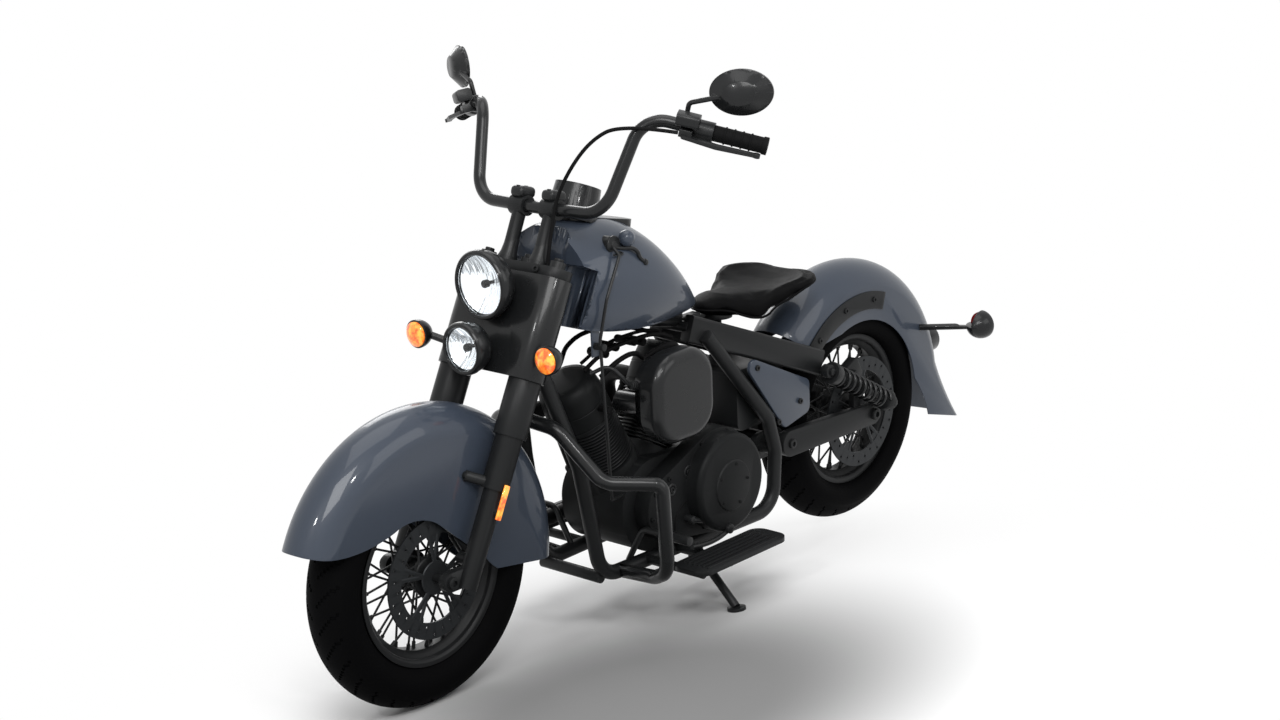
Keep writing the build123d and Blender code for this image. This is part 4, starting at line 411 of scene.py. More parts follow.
def curved(first, middle, last, steps):
    """Points of the arc through three points of a profile."""
    ax, ay = first
    bx, by = middle
    cx, cy = last
    twice = 2 * (ax * (by - cy) + bx * (cy - ay) + cx * (ay - by))
    a2, b2, c2 = ax * ax + ay * ay, bx * bx + by * by, cx * cx + cy * cy
    ux = (a2 * (by - cy) + b2 * (cy - ay) + c2 * (ay - by)) / twice
    uy = (a2 * (cx - bx) + b2 * (ax - cx) + c2 * (bx - ax)) / twice
    radius = Vector((ax - ux, ay - uy)).length
    way = [atan2(y - uy, x - ux) for x, y in (first, middle, last)]
    middle_turn = (way[1] - way[0]) % (2 * pi)
    full_turn = (way[2] - way[0]) % (2 * pi)
    if middle_turn > full_turn:
        full_turn -= 2 * pi
    return [
        (ux + radius * cos(turn), uy + radius * sin(turn))
        for turn in (way[0] + full_turn * step / steps for step in range(steps + 1))
    ]


def opposite(pairs):
    """The same profile on the other side, in the reverse order."""
    return [(radius, -side) for radius, side in reversed(pairs)]


def on_circle(centre, reach, turn, side):
    """The point at this reach and turn, in side view, from a centre."""
    return centre[0] + reach * cos(turn), side, centre[2] + reach * sin(turn)


def on_fork(forward, side, height):
    """A point given along the fork's own directions from axle height."""
    return Vector((
        FORK_FOOT[0] + forward * cos(RAKE) - height * sin(RAKE),
        side,
        FORK_FOOT[2] + forward * sin(RAKE) + height * cos(RAKE),
    ))


def facing(spot, way):
    """The place of a model whose Z is to point this way from this spot."""
    return Matrix.Translation(spot) @ Vector(way).to_track_quat("Z", "Y").to_matrix().to_4x4()


def turned_about(spot, way, pairs, steps=64):
    """A closed profile of radius and distance along a way, spun about that way."""
    piece = spun([(radius, 0, along) for radius, along in pairs], (0, 0, 0), UP, steps, True)
    piece.data.transform(facing(spot, way))
    return piece


# Wheels
AXLES = {"front_wheel": (WHEELBASE, 0, WHEEL_RADIUS), "rear_wheel": (0, 0, WHEEL_RADIUS)}
TREAD_STEPS = 240
TREAD_BANDS = 9
GROOVE_PITCH = 8
GROOVE_DEPTH = 0.0025
TREAD_SHARE = 0.84
TYRE_WALL = 0.011
WIDEST_RADIUS = 0.2615
BEAD_RADIUS, BEAD_FOOT, BEAD_HALF = 0.2165, 0.2045, 0.0395
WALL_STEP = 0.0006


def tyre(body, width, name, node):
    """Road tyre: crowned tread with angled grooves cut in, side-wall steps and beads."""
    axle = AXLES[body]
    half = width / 2
    tread_half = TREAD_SHARE * half
    lean_angle = asin(tread_half / CROWN)
    shoulder_drop = CROWN * (1 - cos(lean_angle))
    shoulder = WHEEL_RADIUS - shoulder_drop
    crown = [
        (WHEEL_RADIUS - CROWN + CROWN * cos(lean_angle * share), CROWN * sin(lean_angle * share))
        for share in (step / TREAD_BANDS - 1 for step in range(2 * TREAD_BANDS + 1))
    ]
    wall = curved((shoulder, tread_half), (WIDEST_RADIUS, half), (BEAD_RADIUS, BEAD_HALF), 14)
    steps = [WALL_STEP * (row % 7 == 3) for row in range(len(wall))]
    stepped = [(radius - step, side - step) for (radius, side), step in zip(wall, steps)]
    inner = [
        (BEAD_FOOT, BEAD_HALF), (BEAD_FOOT, 0.030), (WIDEST_RADIUS, half - TYRE_WALL),
        (shoulder - TYRE_WALL, 0),
    ]
    left = stepped[1:] + inner
    pairs = crown + left + opposite(left[:-1])
    piece = spun(ring_points(axle, pairs), axle, LEFT, steps=TREAD_STEPS, closed=True)
    only(piece)
    bpy.ops.object.mode_set(mode="EDIT")
    bpy.ops.mesh.select_all(action="DESELECT")
    bpy.ops.object.mode_set(mode="OBJECT")
    tread_edge = 0.31 - shoulder_drop * 0.62
    for face in piece.data.polygons:
        spot = face.center - Vector(axle)
        outwards = Vector((spot.x, 0, spot.z))
        if outwards.length < tread_edge or face.normal.dot(outwards) < 0:
            continue
        turn = int(atan2(spot.z, spot.x) / (2 * pi) * TREAD_STEPS + TREAD_STEPS)
        band = round(abs(spot.y) / CROWN / lean_angle * TREAD_BANDS + 0.5)
        half_pitch = 0 if spot.y > 0 else GROOVE_PITCH // 2
        face.select = band > 1 and (turn - band + half_pitch) % GROOVE_PITCH == 0
    bpy.ops.object.mode_set(mode="EDIT")
    bpy.ops.mesh.extrude_region_shrink_fatten(TRANSFORM_OT_shrink_fatten={"value": -GROOVE_DEPTH})
    bpy.ops.object.mode_set(mode="OBJECT")
    softened(piece, 0, angle=32)
    return fitted(piece, name, body, "tyre_rubber", replaced=[node])


RIM_HALF = [
    (0.216, 0.046), (0.2145, 0.0415), (0.204, 0.040), (0.2025, 0.030), (0.195, 0.026), (0.186, 0.020),
]
RIM_INNER_HALF = [
    (0.181, 0.019), (0.190, 0.027), (0.197, 0.032), (0.199, 0.041), (0.205, 0.046),
]
HUB_MIDDLE_HALF = [(0.047, 0.040), (0.050, 0.037), (0.050, 0.026), (0.046, 0.023), (0.031, 0.018)]
AXLE_BORE = 0.0115
SPOKE_RADIUS = 0.0028
NIPPLE_RADIUS = 0.0046
NIPPLE_LENGTH = 0.017
SPOKES_A_ROW = 10
SPOKE_PITCH = radians(9)
SPOKE_CROSSING = radians(54)
FLANGE_REACH, FLANGE_SIDE, FLANGE_STAGGER = 0.041, 0.032, 0.006
RIM_REACH, RIM_STAGGER = 0.183, 0.006


def spoke_ends(axle):
    """Each spoke's foot on a hub flange and its head in the rim."""
    for side in (1, -1):
        for hand in (1, -1):
            for step in range(SPOKES_A_ROW):
                foot_turn = (4 * step + (1 - side) / 2 + (1 - hand)) * SPOKE_PITCH
                head_turn = foot_turn + SPOKE_CROSSING * hand
                foot_side = side * (FLANGE_SIDE + hand * FLANGE_STAGGER)
                foot = Vector(on_circle(axle, FLANGE_REACH, foot_turn, foot_side))
                yield foot, Vector(on_circle(axle, RIM_REACH, head_turn, side * RIM_STAGGER))


def rim_and_hub(body, name, node, left_hub, right_hub):
    """Rim, hub, laced spokes and their nipples."""
    axle = AXLES[body]
    rim_pairs = RIM_HALF + opposite(RIM_HALF) + opposite(RIM_INNER_HALF) + RIM_INNER_HALF
    hub_pairs = left_hub + HUB_MIDDLE_HALF + [(0.028, 0.0)] + opposite(HUB_MIDDLE_HALF) + right_hub
    rim = spun(ring_points(axle, rim_pairs), axle, LEFT, closed=True)
    hub = spun(ring_points(axle, hub_pairs), axle, LEFT, steps=64, closed=True)
    spoke = rod((0, 0, 0), UP, SPOKE_RADIUS, 10)
    nipple = rod((0, 0, 0), UP, NIPPLE_RADIUS, 10)
    places, caps = [], []
    for foot, head in spoke_ends(axle):
        way = head - foot
        places.append(facing(foot, way) @ Matrix.Diagonal((1, 1, way.length, 1)))
        seat = head - way.normalized() * (NIPPLE_LENGTH - 0.001)
        caps.append(facing(seat, way) @ Matrix.Diagonal((1, 1, NIPPLE_LENGTH, 1)))
    spokes = copied(spoke, places)
    nipples = copied(nipple, caps)
    softened(rim, 0.001)
    softened(hub, 0.0012)
    piece = softened(joined([rim, hub, spokes, nipples]), 0)
    return fitted(piece, name, body, "rim_black", replaced=[node])


tyre("front_wheel", 0.13, "front_road_tyre", "front_tyre")
tyre("rear_wheel", 0.15, "rear_road_tyre", "rear_tyre")
rim_and_hub(
    "front_wheel", "front_laced_wheel", "front_rim",
    [(AXLE_BORE, 0.051), (0.027, 0.051), (0.027, 0.041)],
    [(0.027, -0.041), (0.027, -0.0435), (AXLE_BORE, -0.0435)],
)
rim_and_hub(
    "rear_wheel", "rear_laced_wheel", "rear_rim",
    [(AXLE_BORE, 0.081), (0.027, 0.081), (0.027, 0.041)],
    [
        (0.029, -0.041), (0.029, -0.087), (0.082, -0.087), (0.086, -0.081), (0.092, -0.081), (0.092, -0.101),
        (0.086, -0.101), (0.082, -0.095), (AXLE_BORE, -0.095),
    ],
)


def cut_by(piece, tool):
    """Cuts one shape out of another, after which the tool is gone."""
    only(piece)
    modifier = piece.modifiers.new("cut", "BOOLEAN")
    modifier.object = tool
    modifier.operation = "DIFFERENCE"
    modifier.solver = "EXACT"
    bpy.ops.object.modifier_apply(modifier="cut")
    bpy.data.objects.remove(tool)
    return piece


DISC_HALF = 0.0025
TRACK_WIDTH = 0.040
TRACK_HOLES, HOLE_RADIUS, HOLE_SWING = 30, 0.0036, 0.009
SPIDER_ARMS, ARM_RADIUS, ARM_SWING, RIVET_RADIUS = 5, 0.0055, 0.13, 0.024


def disc(body, offset, radius, name, node):
    """Brake disc: drilled track, rivets and a spoked spider."""
    axle = AXLES[body]
    right, left = offset - DISC_HALF, offset + DISC_HALF
    track_foot = radius - TRACK_WIDTH
    arm_reach = radius - 0.036
    track = spun(ring_points(axle, [
        (track_foot, right), (radius, right), (radius, left), (track_foot, left)]), axle, LEFT, 120, True)
    spider = spun(ring_points(axle, [
        (AXLE_BORE, right), (0.040, right), (0.042, offset), (0.040, left), (AXLE_BORE, left)]),
        axle, LEFT, 60, True)
    holes = []
    for step in range(TRACK_HOLES):
        reach = radius - TRACK_WIDTH / 2 + HOLE_SWING * (step % 3 - 1)
        turn = 2 * pi * step / TRACK_HOLES
        near, far = (on_circle(axle, reach, turn, offset + side) for side in (-0.01, 0.01))
        holes.append(rod(near, far, HOLE_RADIUS, 14))
    cut_by(track, joined(holes))
    arms = []
    for step in range(SPIDER_ARMS):
        turn = 2 * pi * step / SPIDER_ARMS + radians(20)
        for swing in (-ARM_SWING, ARM_SWING):
            foot = on_circle(axle, 0.038, turn, offset)
            arms.append(rod(foot, on_circle(axle, arm_reach, turn + swing, offset), ARM_RADIUS, 12))
        rivet_ends = (on_circle(axle, arm_reach, turn, side) for side in (right, left))
        arms.append(rod(*rivet_ends, RIVET_RADIUS, 24))
    arms = joined(arms)
    arms.data.transform(Matrix.Translation((0, offset, 0)) @ Matrix.Diagonal((1, 0.45, 1, 1))
                        @ Matrix.Translation((0, -offset, 0)))
    piece = softened(joined([track, spider, arms]), 0)
    return fitted(piece, name, body, "disc_steel", replaced=[node])


disc("front_wheel", 0.054, 0.147, "front_brake_disc", "front_disc")
disc("rear_wheel", 0.084, 0.158, "rear_brake_disc", "rear_disc")

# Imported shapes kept, each with how wide its edges are rounded
for node_name, piece_name, width in (
    ("frame", "frame_tubes", 0.0008),
    ("crankcase", "engine_cases", 0.003),
    ("primary_cover", "primary_case", 0.004),
    ("exhaust", "exhaust_pipes", 0.001),
    ("swingarm", "swing_arm", 0.003),
    ("triple_clamps", "fork_clamps", 0.002),
    ("fork_legs", "fork_tubes", 0.001),
    ("footboards", "foot_boards", 0.001),
    ("crash_bar", "engine_guard", 0),
    ("handlebar", "ape_bar", 0),
    ("hand_controls", "levers_and_switches", 0.0015),
    ("seat_mount", "saddle_mount", 0.001),
    ("fender_struts", "mudguard_struts", 0.0008),
    ("battery_box", "battery_case", 0.002),
    ("rear_caliper", "rear_brake_caliper", 0.003),
    ("front_caliper", "front_brake_caliper", 0.003),
    ("foot_controls", "foot_pegs", 0.001),
    ("side_stand", "kick_stand", 0.001),
    ("hand_shift", "tank_shifter", 0.0005),
    ("drive_belt", "belt", 0.001),
    ("rear_lamps", "rear_lamp_bowls", 0.001),
    ("front_signals", "signal_bowls", 0.001),
    ("mirrors", "mirror_shells", 0),
    ("grips", "bar_grips", 0.0008),
    ("side_covers", "side_panels", 0.003),
    ("air_cleaner", "filter_cover", 0),
    ("fuel_tank", "tank_shell", 0),
    ("gauge_pod", "gauge_cup", 0.001),
    ("fork_covers", "fork_nacelle", 0.0012),
    ("front_fender", "front_mudguard", 0.0008),
    ("rear_fender", "rear_mudguard", 0.0008),
):
    refined(node_name, piece_name, width)


# Engine: finned barrels, smooth domes and their bolts
def bank_way(bank):
    """The way up a cylinder from the crank."""
    return Vector((bank * sin(BANK_ANGLE), 0, cos(BANK_ANGLE)))


def bank_points(bank, pairs):
    """Profile points from pairs of radius and distance from the crank."""
    return [tuple(CRANK + bank_way(bank) * along + Vector((0, radius, 0))) for radius, along in pairs]


# Where the fins start and end above the crank, and the barrel's radius inside them
FIN_COUNT, FIN_FIRST, FIN_LAST, BARREL_RADIUS = 15, 0.1446, 0.2834, 0.060
FIN_OUTLINE = (
    (0.0760, 0.52), (0.0790, 0.60), (0.0798, 0.72), (0.0790, 0.84), (0.0760, 0.92), (BARREL_RADIUS, 0.98),
)


def finned_barrels():
    """Both cylinders, each fin a tapered ring on the barrel."""
    pitch = (FIN_LAST - FIN_FIRST) / FIN_COUNT
    comb = [(0.0, FIN_FIRST)]
    for fin in range(FIN_COUNT):
        foot = FIN_FIRST + fin * pitch
        comb += [(BARREL_RADIUS, foot), (BARREL_RADIUS, foot + pitch * 0.46)]
        comb += [(radius, foot + pitch * share) for radius, share in FIN_OUTLINE]
    comb += [(BARREL_RADIUS, FIN_LAST), (0.0, FIN_LAST)]
    made = [spun(bank_points(bank, comb), CRANK, bank_way(bank), steps=72) for bank in (1, -1)]
    piece = softened(joined(made), 0, angle=40)
    return fitted(piece, "finned_barrels", "chassis", "engine_black", control_black, replaced=["cylinders"])


def rocker_domes():
    """Both smooth head covers, with their joints and bolts."""
    outline = [
        (0.0, 0.2842), (0.0812, 0.2842), (0.0812, 0.292), (0.0795, 0.2932), (0.0795, 0.2944), (0.0816, 0.296),
        (0.0816, 0.338), (0.0800, 0.3392), (0.0800, 0.3404), (0.0814, 0.3425), (0.0790, 0.362),
    ] + curved((0.0770, 0.376), (0.0672, 0.3985), (0.0450, 0.4076), 8) + [(0.0, 0.408)]
    made = []
    for bank in (1, -1):
        way = bank_way(bank)
        made.append(spun(bank_points(bank, outline), CRANK, way, steps=96))
        ahead = Vector((way.z, 0, -way.x))
        for turn in (35, 145, 215, 325):
            aside = Vector(LEFT) * sin(radians(turn)) + ahead * cos(radians(turn))
            foot = CRANK + way * 0.398 + aside * 0.052
            made.append(softened(rod(foot, foot + way * 0.0085, 0.0055, 20), 0.0008))
    piece = softened(joined(made), 0, angle=40)
    return fitted(piece, "rocker_covers", "chassis", "engine_black", replaced=["cylinder_heads"])


finned_barrels()
rocker_domes()


def bolts(name, body, slot, rows):
    """Socket bolts: a headed cylinder with a hexagonal recess at each place, facing its way."""
    head = rod((0, 0, 0), UP, 1, 20)
    softened(head, 0.12)
    cut_by(head, rod((0, 0, 0.45), (0, 0, 1.3), 0.55, 6))
    places = [
        facing(spot, way) @ Matrix.Diagonal((radius, radius, height, 1))
        for spot, way, radius, height in rows
    ]
    return fitted(softened(copied(head, places), 0), name, body, slot)


def bolt_circle(centre, reach, turns, way, radius, height):
    """Bolts round a centre in side view, all facing one way."""
    return [(on_circle(centre, reach, radians(turn), centre[1]), way, radius, height) for turn in turns]


def bolt_pair(x, side, z, radius, height):
    """One bolt on each side, facing outwards."""
    return [((x, hand * side, z), (0, hand, 0), radius, height) for hand in (1, -1)]


PRIMARY_FACE = 0.157
PANEL_SIDE = 0.1275
PANEL_BOLTS = ((0.515, 0.575), (0.335, 0.44), (0.43, 0.405))

bolts(
    "cover_bolts", "chassis", "engine_black",
    bolt_circle((0.722, PRIMARY_FACE, 0.330), 0.128, range(60, 348, 48), LEFT, 0.006, 0.007)
    + bolt_circle((0.908, PRIMARY_FACE, CRANK.z), 0.076, (-60, -10, 40, 85), LEFT, 0.006, 0.007)
    + bolt_circle((0.722, 0.210, 0.324), 0.056, range(30, 390, 72), LEFT, 0.004, 0.003),
)
bolts("panel_bolts", "chassis", "frame_black", [
    ((x, PANEL_SIDE, z), LEFT, 0.008, 0.006) for x, z in PANEL_BOLTS
])

# Lamps, signals and mirrors
def flutes_group():
    """Straight flutes across a face, from Object coordinates turned upright."""
    tree, given, out = new_group(
        "flutes", [("Scale", "NodeSocketFloat", 90.0)], [("Height", "NodeSocketFloat")])
    place = add_node(tree, "ShaderNodeTexCoord")
    upright = add_node(tree, "ShaderNodeMapping", Rotation=(-LEAN, 0, 0))
    waves = add_node(
        tree, "ShaderNodeTexWave", [("wave_type", "BANDS"), ("bands_direction", "Y")], Distortion=0.6)
    linked(
        tree,
        (place.outputs["Object"], upright.inputs["Vector"]),
        (upright.outputs["Vector"], waves.inputs["Vector"]),
        (given.outputs["Scale"], waves.inputs["Scale"]),
        (waves.outputs["Fac"], out.inputs["Height"]),
    )
    return tree


FLUTES = flutes_group()


def bright_metal(name, color, roughness):
    """Bright reflecting metal."""
    material, _, shader = new_material(name)
    valued(shader, Base_Color=(*color, 1), Metallic=1.0, Roughness=roughness)
    return material


def fluted_reflector_with_painted_glow():
    """The lamps' bright bowl metal, with its flutes and a faint painted glow that lightens it."""
    material = bright_metal("lamp reflector", (0.95, 0.96, 0.97), 0.08)
    tree = material.node_tree
    shader = tree.nodes["Principled BSDF"]
    # Painted glow: a faint emission that makes the reflectors brighter than their lighting would
    valued(shader, Emission_Color=(0.90, 0.95, 1.0, 1), Emission_Strength=0.22)
    bands = tree.nodes.new("ShaderNodeGroup")
    bands.node_tree = FLUTES
    valued(bands, Scale=26.0)
    bumps = add_node(tree, "ShaderNodeBump", Distance=0.0014, Strength=0.8)
    linked(
        tree,
        (bands.outputs["Height"], bumps.inputs["Height"]),
        (bumps.outputs["Normal"], shader.inputs["Normal"]),
    )
    return material


glowing_lamp_silver = fluted_reflector_with_painted_glow()
mirror_face = bright_metal("mirror face", (0.62, 0.64, 0.66), 0.03)

# Each headlamp's place ahead, its height and its radius
LAMPS = ((1.384, 0.959, 0.084), (1.454, 0.820, 0.064))


BEZEL_WIDTH = 0.012
# The bezel's steps as how far inside the bowl's radius and how far ahead, and the cap over the bulb
BEZEL_STEPS = (
    (0.0120, -0.0030), (0.0110, -0.0005), (0.0075, 0.0008), (0.0065, -0.0012), (0.0045, -0.0010),
    (0.0015, -0.0040), (0.0, -0.0090), (0.0, -0.0175), (0.0030, -0.0195), (0.0030, -0.0225),
)
BULB_CAP = [
    (0, -0.0492), (0.0045, -0.0492), (0.0045, -0.034), (0.0095, -0.032), (0.0098, -0.021), (0.0085, -0.0185),
    (0.005, -0.0172), (0, -0.0168),
]
BOWL_WALL = 0.0030
DISH_BOTTOM, DISH_DEPTH, DISH_WALL = -0.0500, 0.0375, 0.0010
BOWL_LIP = -0.0225


def lamp_bowl(radius):
    """The profile of a lamp's bezel and bowl."""
    mouth = radius - BEZEL_WIDTH
    outer = [(radius - inset, along) for inset, along in BEZEL_STEPS]
    back = curved((radius - BOWL_WALL, BOWL_LIP), (radius * 0.80, -0.0530), (radius * 0.40, -0.0672), 10)
    inner = curved((radius * 0.38, -0.0640), (radius * 0.76, -0.0510), (mouth - 0.0012, BOWL_LIP), 10)
    return outer + back[1:] + [(0, -0.0672), (0, -0.0640)] + inner


def reflector_dish(open_radius):
    """The profile of a thin round dish, open ahead."""
    shares = [row / 14 for row in range(15)]
    dish = [(open_radius * share, DISH_BOTTOM + DISH_DEPTH * share ** 2) for share in shares]
    return dish + [(radius, along - DISH_WALL) for radius, along in reversed(dish)]


def domed_glass(lens_radius):
    """The profile of a thin lens with a low dome."""
    front = curved((0, 0.0030), (lens_radius * 0.55, 0.0003), (lens_radius, -0.0060), 12)
    rear = [(radius * 0.999, along - 0.0026) for radius, along in reversed(front[:-1])]
    return front + [(lens_radius, -0.0095)] + rear


def headlamps():
    """Stepped bezels and bowls, fluted reflectors, bulb caps and domed lenses."""
    bowls, reflectors, caps, lenses = [], [], [], []
    for forward, height, radius in LAMPS:
        spot = (forward, 0, height)
        mouth = radius - BEZEL_WIDTH
        bowls.append(turned_about(spot, AHEAD, lamp_bowl(radius), 96))
        reflectors.append(turned_about(spot, AHEAD, reflector_dish(mouth - 0.0018), 96))
        caps.append(turned_about(spot, AHEAD, BULB_CAP, 40))
        lenses.append(turned_about(spot, AHEAD, domed_glass(mouth - 0.0004), 96))
    bowls = softened(joined(bowls), 0, angle=40)
    fitted(bowls, "lamp_bowls", "fork", "gloss_black", replaced=["headlamps"])
    fitted(softened(joined(reflectors), 0), "lamp_reflectors", "fork", "gloss_black", glowing_lamp_silver)
    fitted(softened(joined(caps), 0), "bulb_caps", "fork", "gloss_black", control_black)
    lenses = softened(joined(lenses), 0, angle=50)
    fitted(lenses, "lamp_glasses", "fork", "clear_glass", replaced=["lamp_lenses"])


headlamps()


def painted_amber_glow():
    """Amber plastic, yellow to orange in soft patches, with a painted glow that stands in for light shining
    through it.
    """
    material, tree, shader = new_material("amber glow")
    place = add_node(tree, "ShaderNodeTexCoord")
    patches = add_node(tree, "ShaderNodeTexNoise", Scale=70.0, Detail=2.0)
    tones = add_node(tree, "ShaderNodeValToRGB")
    for stop, position, color in zip(
        tones.color_ramp.elements, (0.38, 0.64), ((0.90, 0.10, 0.012, 1), (1.0, 0.42, 0.05, 1))
    ):
        stop.position = position
        stop.color = color
    linked(
        tree,
        (place.outputs["Object"], patches.inputs["Vector"]),
        (patches.outputs["Fac"], tones.inputs["Fac"]),
        (tones.outputs["Color"], shader.inputs["Base Color"]),
        (tones.outputs["Color"], shader.inputs["Emission Color"]),
    )
    # Painted glow: the amber emits a little light in its own colours, on the signal lenses and the clamp
    # reflectors alike
    valued(shader, Emission_Strength=0.45, Roughness=0.16, Coat_Weight=0.7)
    return material


SIGNAL_SPOT = (1.392, 0.217, 0.812)
SIGNAL_RADIUS = 0.0308
SIGNAL_FOOT = 0.0004
SLOT_SIZE = (0.017, 0.0068, 0.084)
SLOT_PLACE = (0, 0.1518, 0.184)


def amber_parts():
    """Signal lenses with stepped rims, and the slot reflectors on the fork's lower clamps."""
    dome = curved((0, 0.0150), (0.0165, 0.0124), (0.0292, 0.0052), 8)
    rings = [(radius, along + 0.0005 * (row % 2)) for row, (radius, along) in enumerate(dome)]
    lens = rings + [(SIGNAL_RADIUS, 0.0040), (SIGNAL_RADIUS, SIGNAL_FOOT), (0, SIGNAL_FOOT)]
    made = []
    for side in (1, -1):
        x, out, z = SIGNAL_SPOT
        made.append(turned_about((x, side * out, z), AHEAD, lens, 48))
        strip = softened(block(SLOT_SIZE), 0.0030, 3)
        ahead, out, up = SLOT_PLACE
        place = Matrix.Translation(on_fork(ahead, side * out, up))
        strip.data.transform(place @ Matrix.Rotation(-RAKE, 4, "Y"))
        made.append(strip)
    made = softened(joined(made), 0, angle=50)
    fitted(made, "amber_lens_set", "fork", "amber_plastic", painted_amber_glow(), ["amber_lenses"])


amber_parts()


def tail_lenses():
    """Red domes in the rear bowls and on the mudguard's lamp."""
    signal = [(0, 0.0060), (0.020, 0.0042), (0.036, -0.0005), (0.036, -0.004), (0, -0.004)]
    brake = [(0, 0.0035), (0.030, 0.0030), (0.036, 0.0005), (0.036, -0.004), (0, -0.004)]
    made = [turned_about((-0.388, side * 0.236, 0.512), BACK, signal, 48) for side in (1, -1)]
    made.append(turned_about((-0.460, 0, 0.420), BACK, brake, 48))
    red = finish(
        "tail lens", (0.16, 0.004, 0.004), 0.18, drift=0.3, scale=90.0, grain=0.5, coat=0.4, shine=0.2)
    fitted(softened(joined(made), 0), "tail_lenses", "chassis", "gloss_black", red)


tail_lenses()

MIRROR_TURN = radians(30)
MIRROR_SPOT = (0.960, 0.462, 1.388)
MIRROR_HALVES = (0.071, 0.050)
MIRROR_INSET = 0.0070


def mirror_glasses():
    """Oval mirror glass facing the rider."""
    made = []
    for side in (1, -1):
        x, out, z = MIRROR_SPOT
        way = Vector((-cos(MIRROR_TURN), -side * sin(MIRROR_TURN), 0))
        across = Vector((-way.y, way.x, 0))
        turned = Matrix((across, UP, way)).transposed().to_4x4()
        glass = rod((0, 0, -0.0006), (0, 0, 0.0006), 1, 64)
        glass.data.transform(Matrix.Diagonal((*MIRROR_HALVES, 1, 1)))
        glass.data.transform(Matrix.Translation(Vector((x, side * out, z)) + way * MIRROR_INSET) @ turned)
        made.append(cleaned(glass))
    fitted(softened(joined(made), 0), "mirror_glasses", "fork", "gloss_black", mirror_face)


mirror_glasses()


# Gauge: dial with ticks, numerals and needle under glass, in the cup on the tank
POD_TILT = radians(23)
POD = Matrix.Translation((1.028, 0, 1.137)) @ Matrix((
    (0, cos(POD_TILT), -sin(POD_TILT)), (-1, 0, 0), (0, sin(POD_TILT), cos(POD_TILT)))).to_4x4()
DIAL_RADIUS = 0.0512
DIAL_FACE = -0.0140
MARK_LEVEL = DIAL_FACE + 0.0002
TICK_REACH = 0.047
NUMERAL_REACH = 0.032
NEEDLE_LEVEL = -0.0120
DIAL_START, DIAL_SWEEP = radians(225), radians(270)


def dial_marks():
    """The dial's raised ticks, each fourth one longer, and the numeral beside each of those."""
    marks = []
    for step in range(33):
        turn = DIAL_START - step / 32 * DIAL_SWEEP
        near = 0.0435 if step % 4 else 0.0400
        tick = block((TICK_REACH - near, 0.0012 if step % 4 else 0.0018, 0.0006))
        out = Matrix.Translation(((TICK_REACH + near) / 2, 0, MARK_LEVEL))
        tick.data.transform(Matrix.Rotation(turn, 4, "Z") @ out)
        marks.append(tick)
    for step in range(9):
        turn = DIAL_START - step / 8 * DIAL_SWEEP
        bpy.ops.object.select_all(action="DESELECT")
        bpy.ops.object.text_add(location=(0, 0, 0))
        letters = bpy.context.object.data
        letters.body = str(step * 20)
        letters.size = 0.0095
        letters.align_x = "CENTER"
        letters.align_y = "CENTER"
        letters.extrude = 0.0003
        bpy.ops.object.convert(target="MESH")
        numeral = bpy.context.object
        spot = (NUMERAL_REACH * cos(turn), NUMERAL_REACH * sin(turn), MARK_LEVEL)
        numeral.data.transform(Matrix.Translation(spot))
        marks.append(numeral)
    return joined(marks)


def dial():
    """The printed face, its marks, and the needle at rest under a flat glass."""
    rest = Vector((cos(DIAL_START), sin(DIAL_START), 0))
    level = Vector((0, 0, NEEDLE_LEVEL))
    face = rod((0, 0, DIAL_FACE - 0.0018), (0, 0, DIAL_FACE), DIAL_RADIUS, 64)
    marks = dial_marks()
    needle = rod(level - rest * 0.008, level + rest * 0.038, 0.0009, 10)
    hub = rod((0, 0, MARK_LEVEL), (0, 0, -0.0105), 0.0052, 24)
    for piece, name, material in (
        (face, "dial_face", finish("dial black", (0.012, 0.012, 0.013), 0.5, drift=0.05)),
        (marks, "dial_marks", finish("dial white", (0.75, 0.75, 0.74), 0.5, drift=0.04)),
        (joined([needle, hub]), "dial_needle", finish("needle orange", (0.8, 0.12, 0.02), 0.4, drift=0.04)),
        (rod((0, 0, -0.0070), (0, 0, -0.0050), DIAL_RADIUS, 64), "dial_glass", finishes["clear_glass"]),
    ):
        piece.data.transform(POD)
        fitted(softened(cleaned(piece), 0), name, "chassis", "gloss_black", material)


dial()


# Shock absorbers: bodies, spring seats, coil springs and eye bolts
SHOCK_TOP, SHOCK_FOOT = Vector((0.254, 0.162, 0.510)), Vector((-0.034, 0.162, 0.352))
SHOCK_LENGTH = (SHOCK_FOOT - SHOCK_TOP).length
SHOCK_UPPER = [
    (0.0115, 0.010), (0.0115, 0.014), (0.0280, 0.014), (0.0310, 0.017), (0.0310, 0.037), (0.0290, 0.040),
    (0.0205, 0.040), (0.0205, 0.175), (0.0185, 0.178), (0.0085, 0.178),
]
# The lower half, as radius and distance from the foot
SHOCK_LOWER = [
    (0.0085, 0.040), (0.0290, 0.034), (0.0310, 0.031), (0.0310, 0.021), (0.0280, 0.0195), (0.0115, 0.019),
    (0.0115, 0.010), (0, 0.010),
]
COIL_TURNS = 9
COIL_RADIUS = 0.026
WIRE_RADIUS = 0.0043
COIL_START, COIL_ROOM = 0.046, 0.086


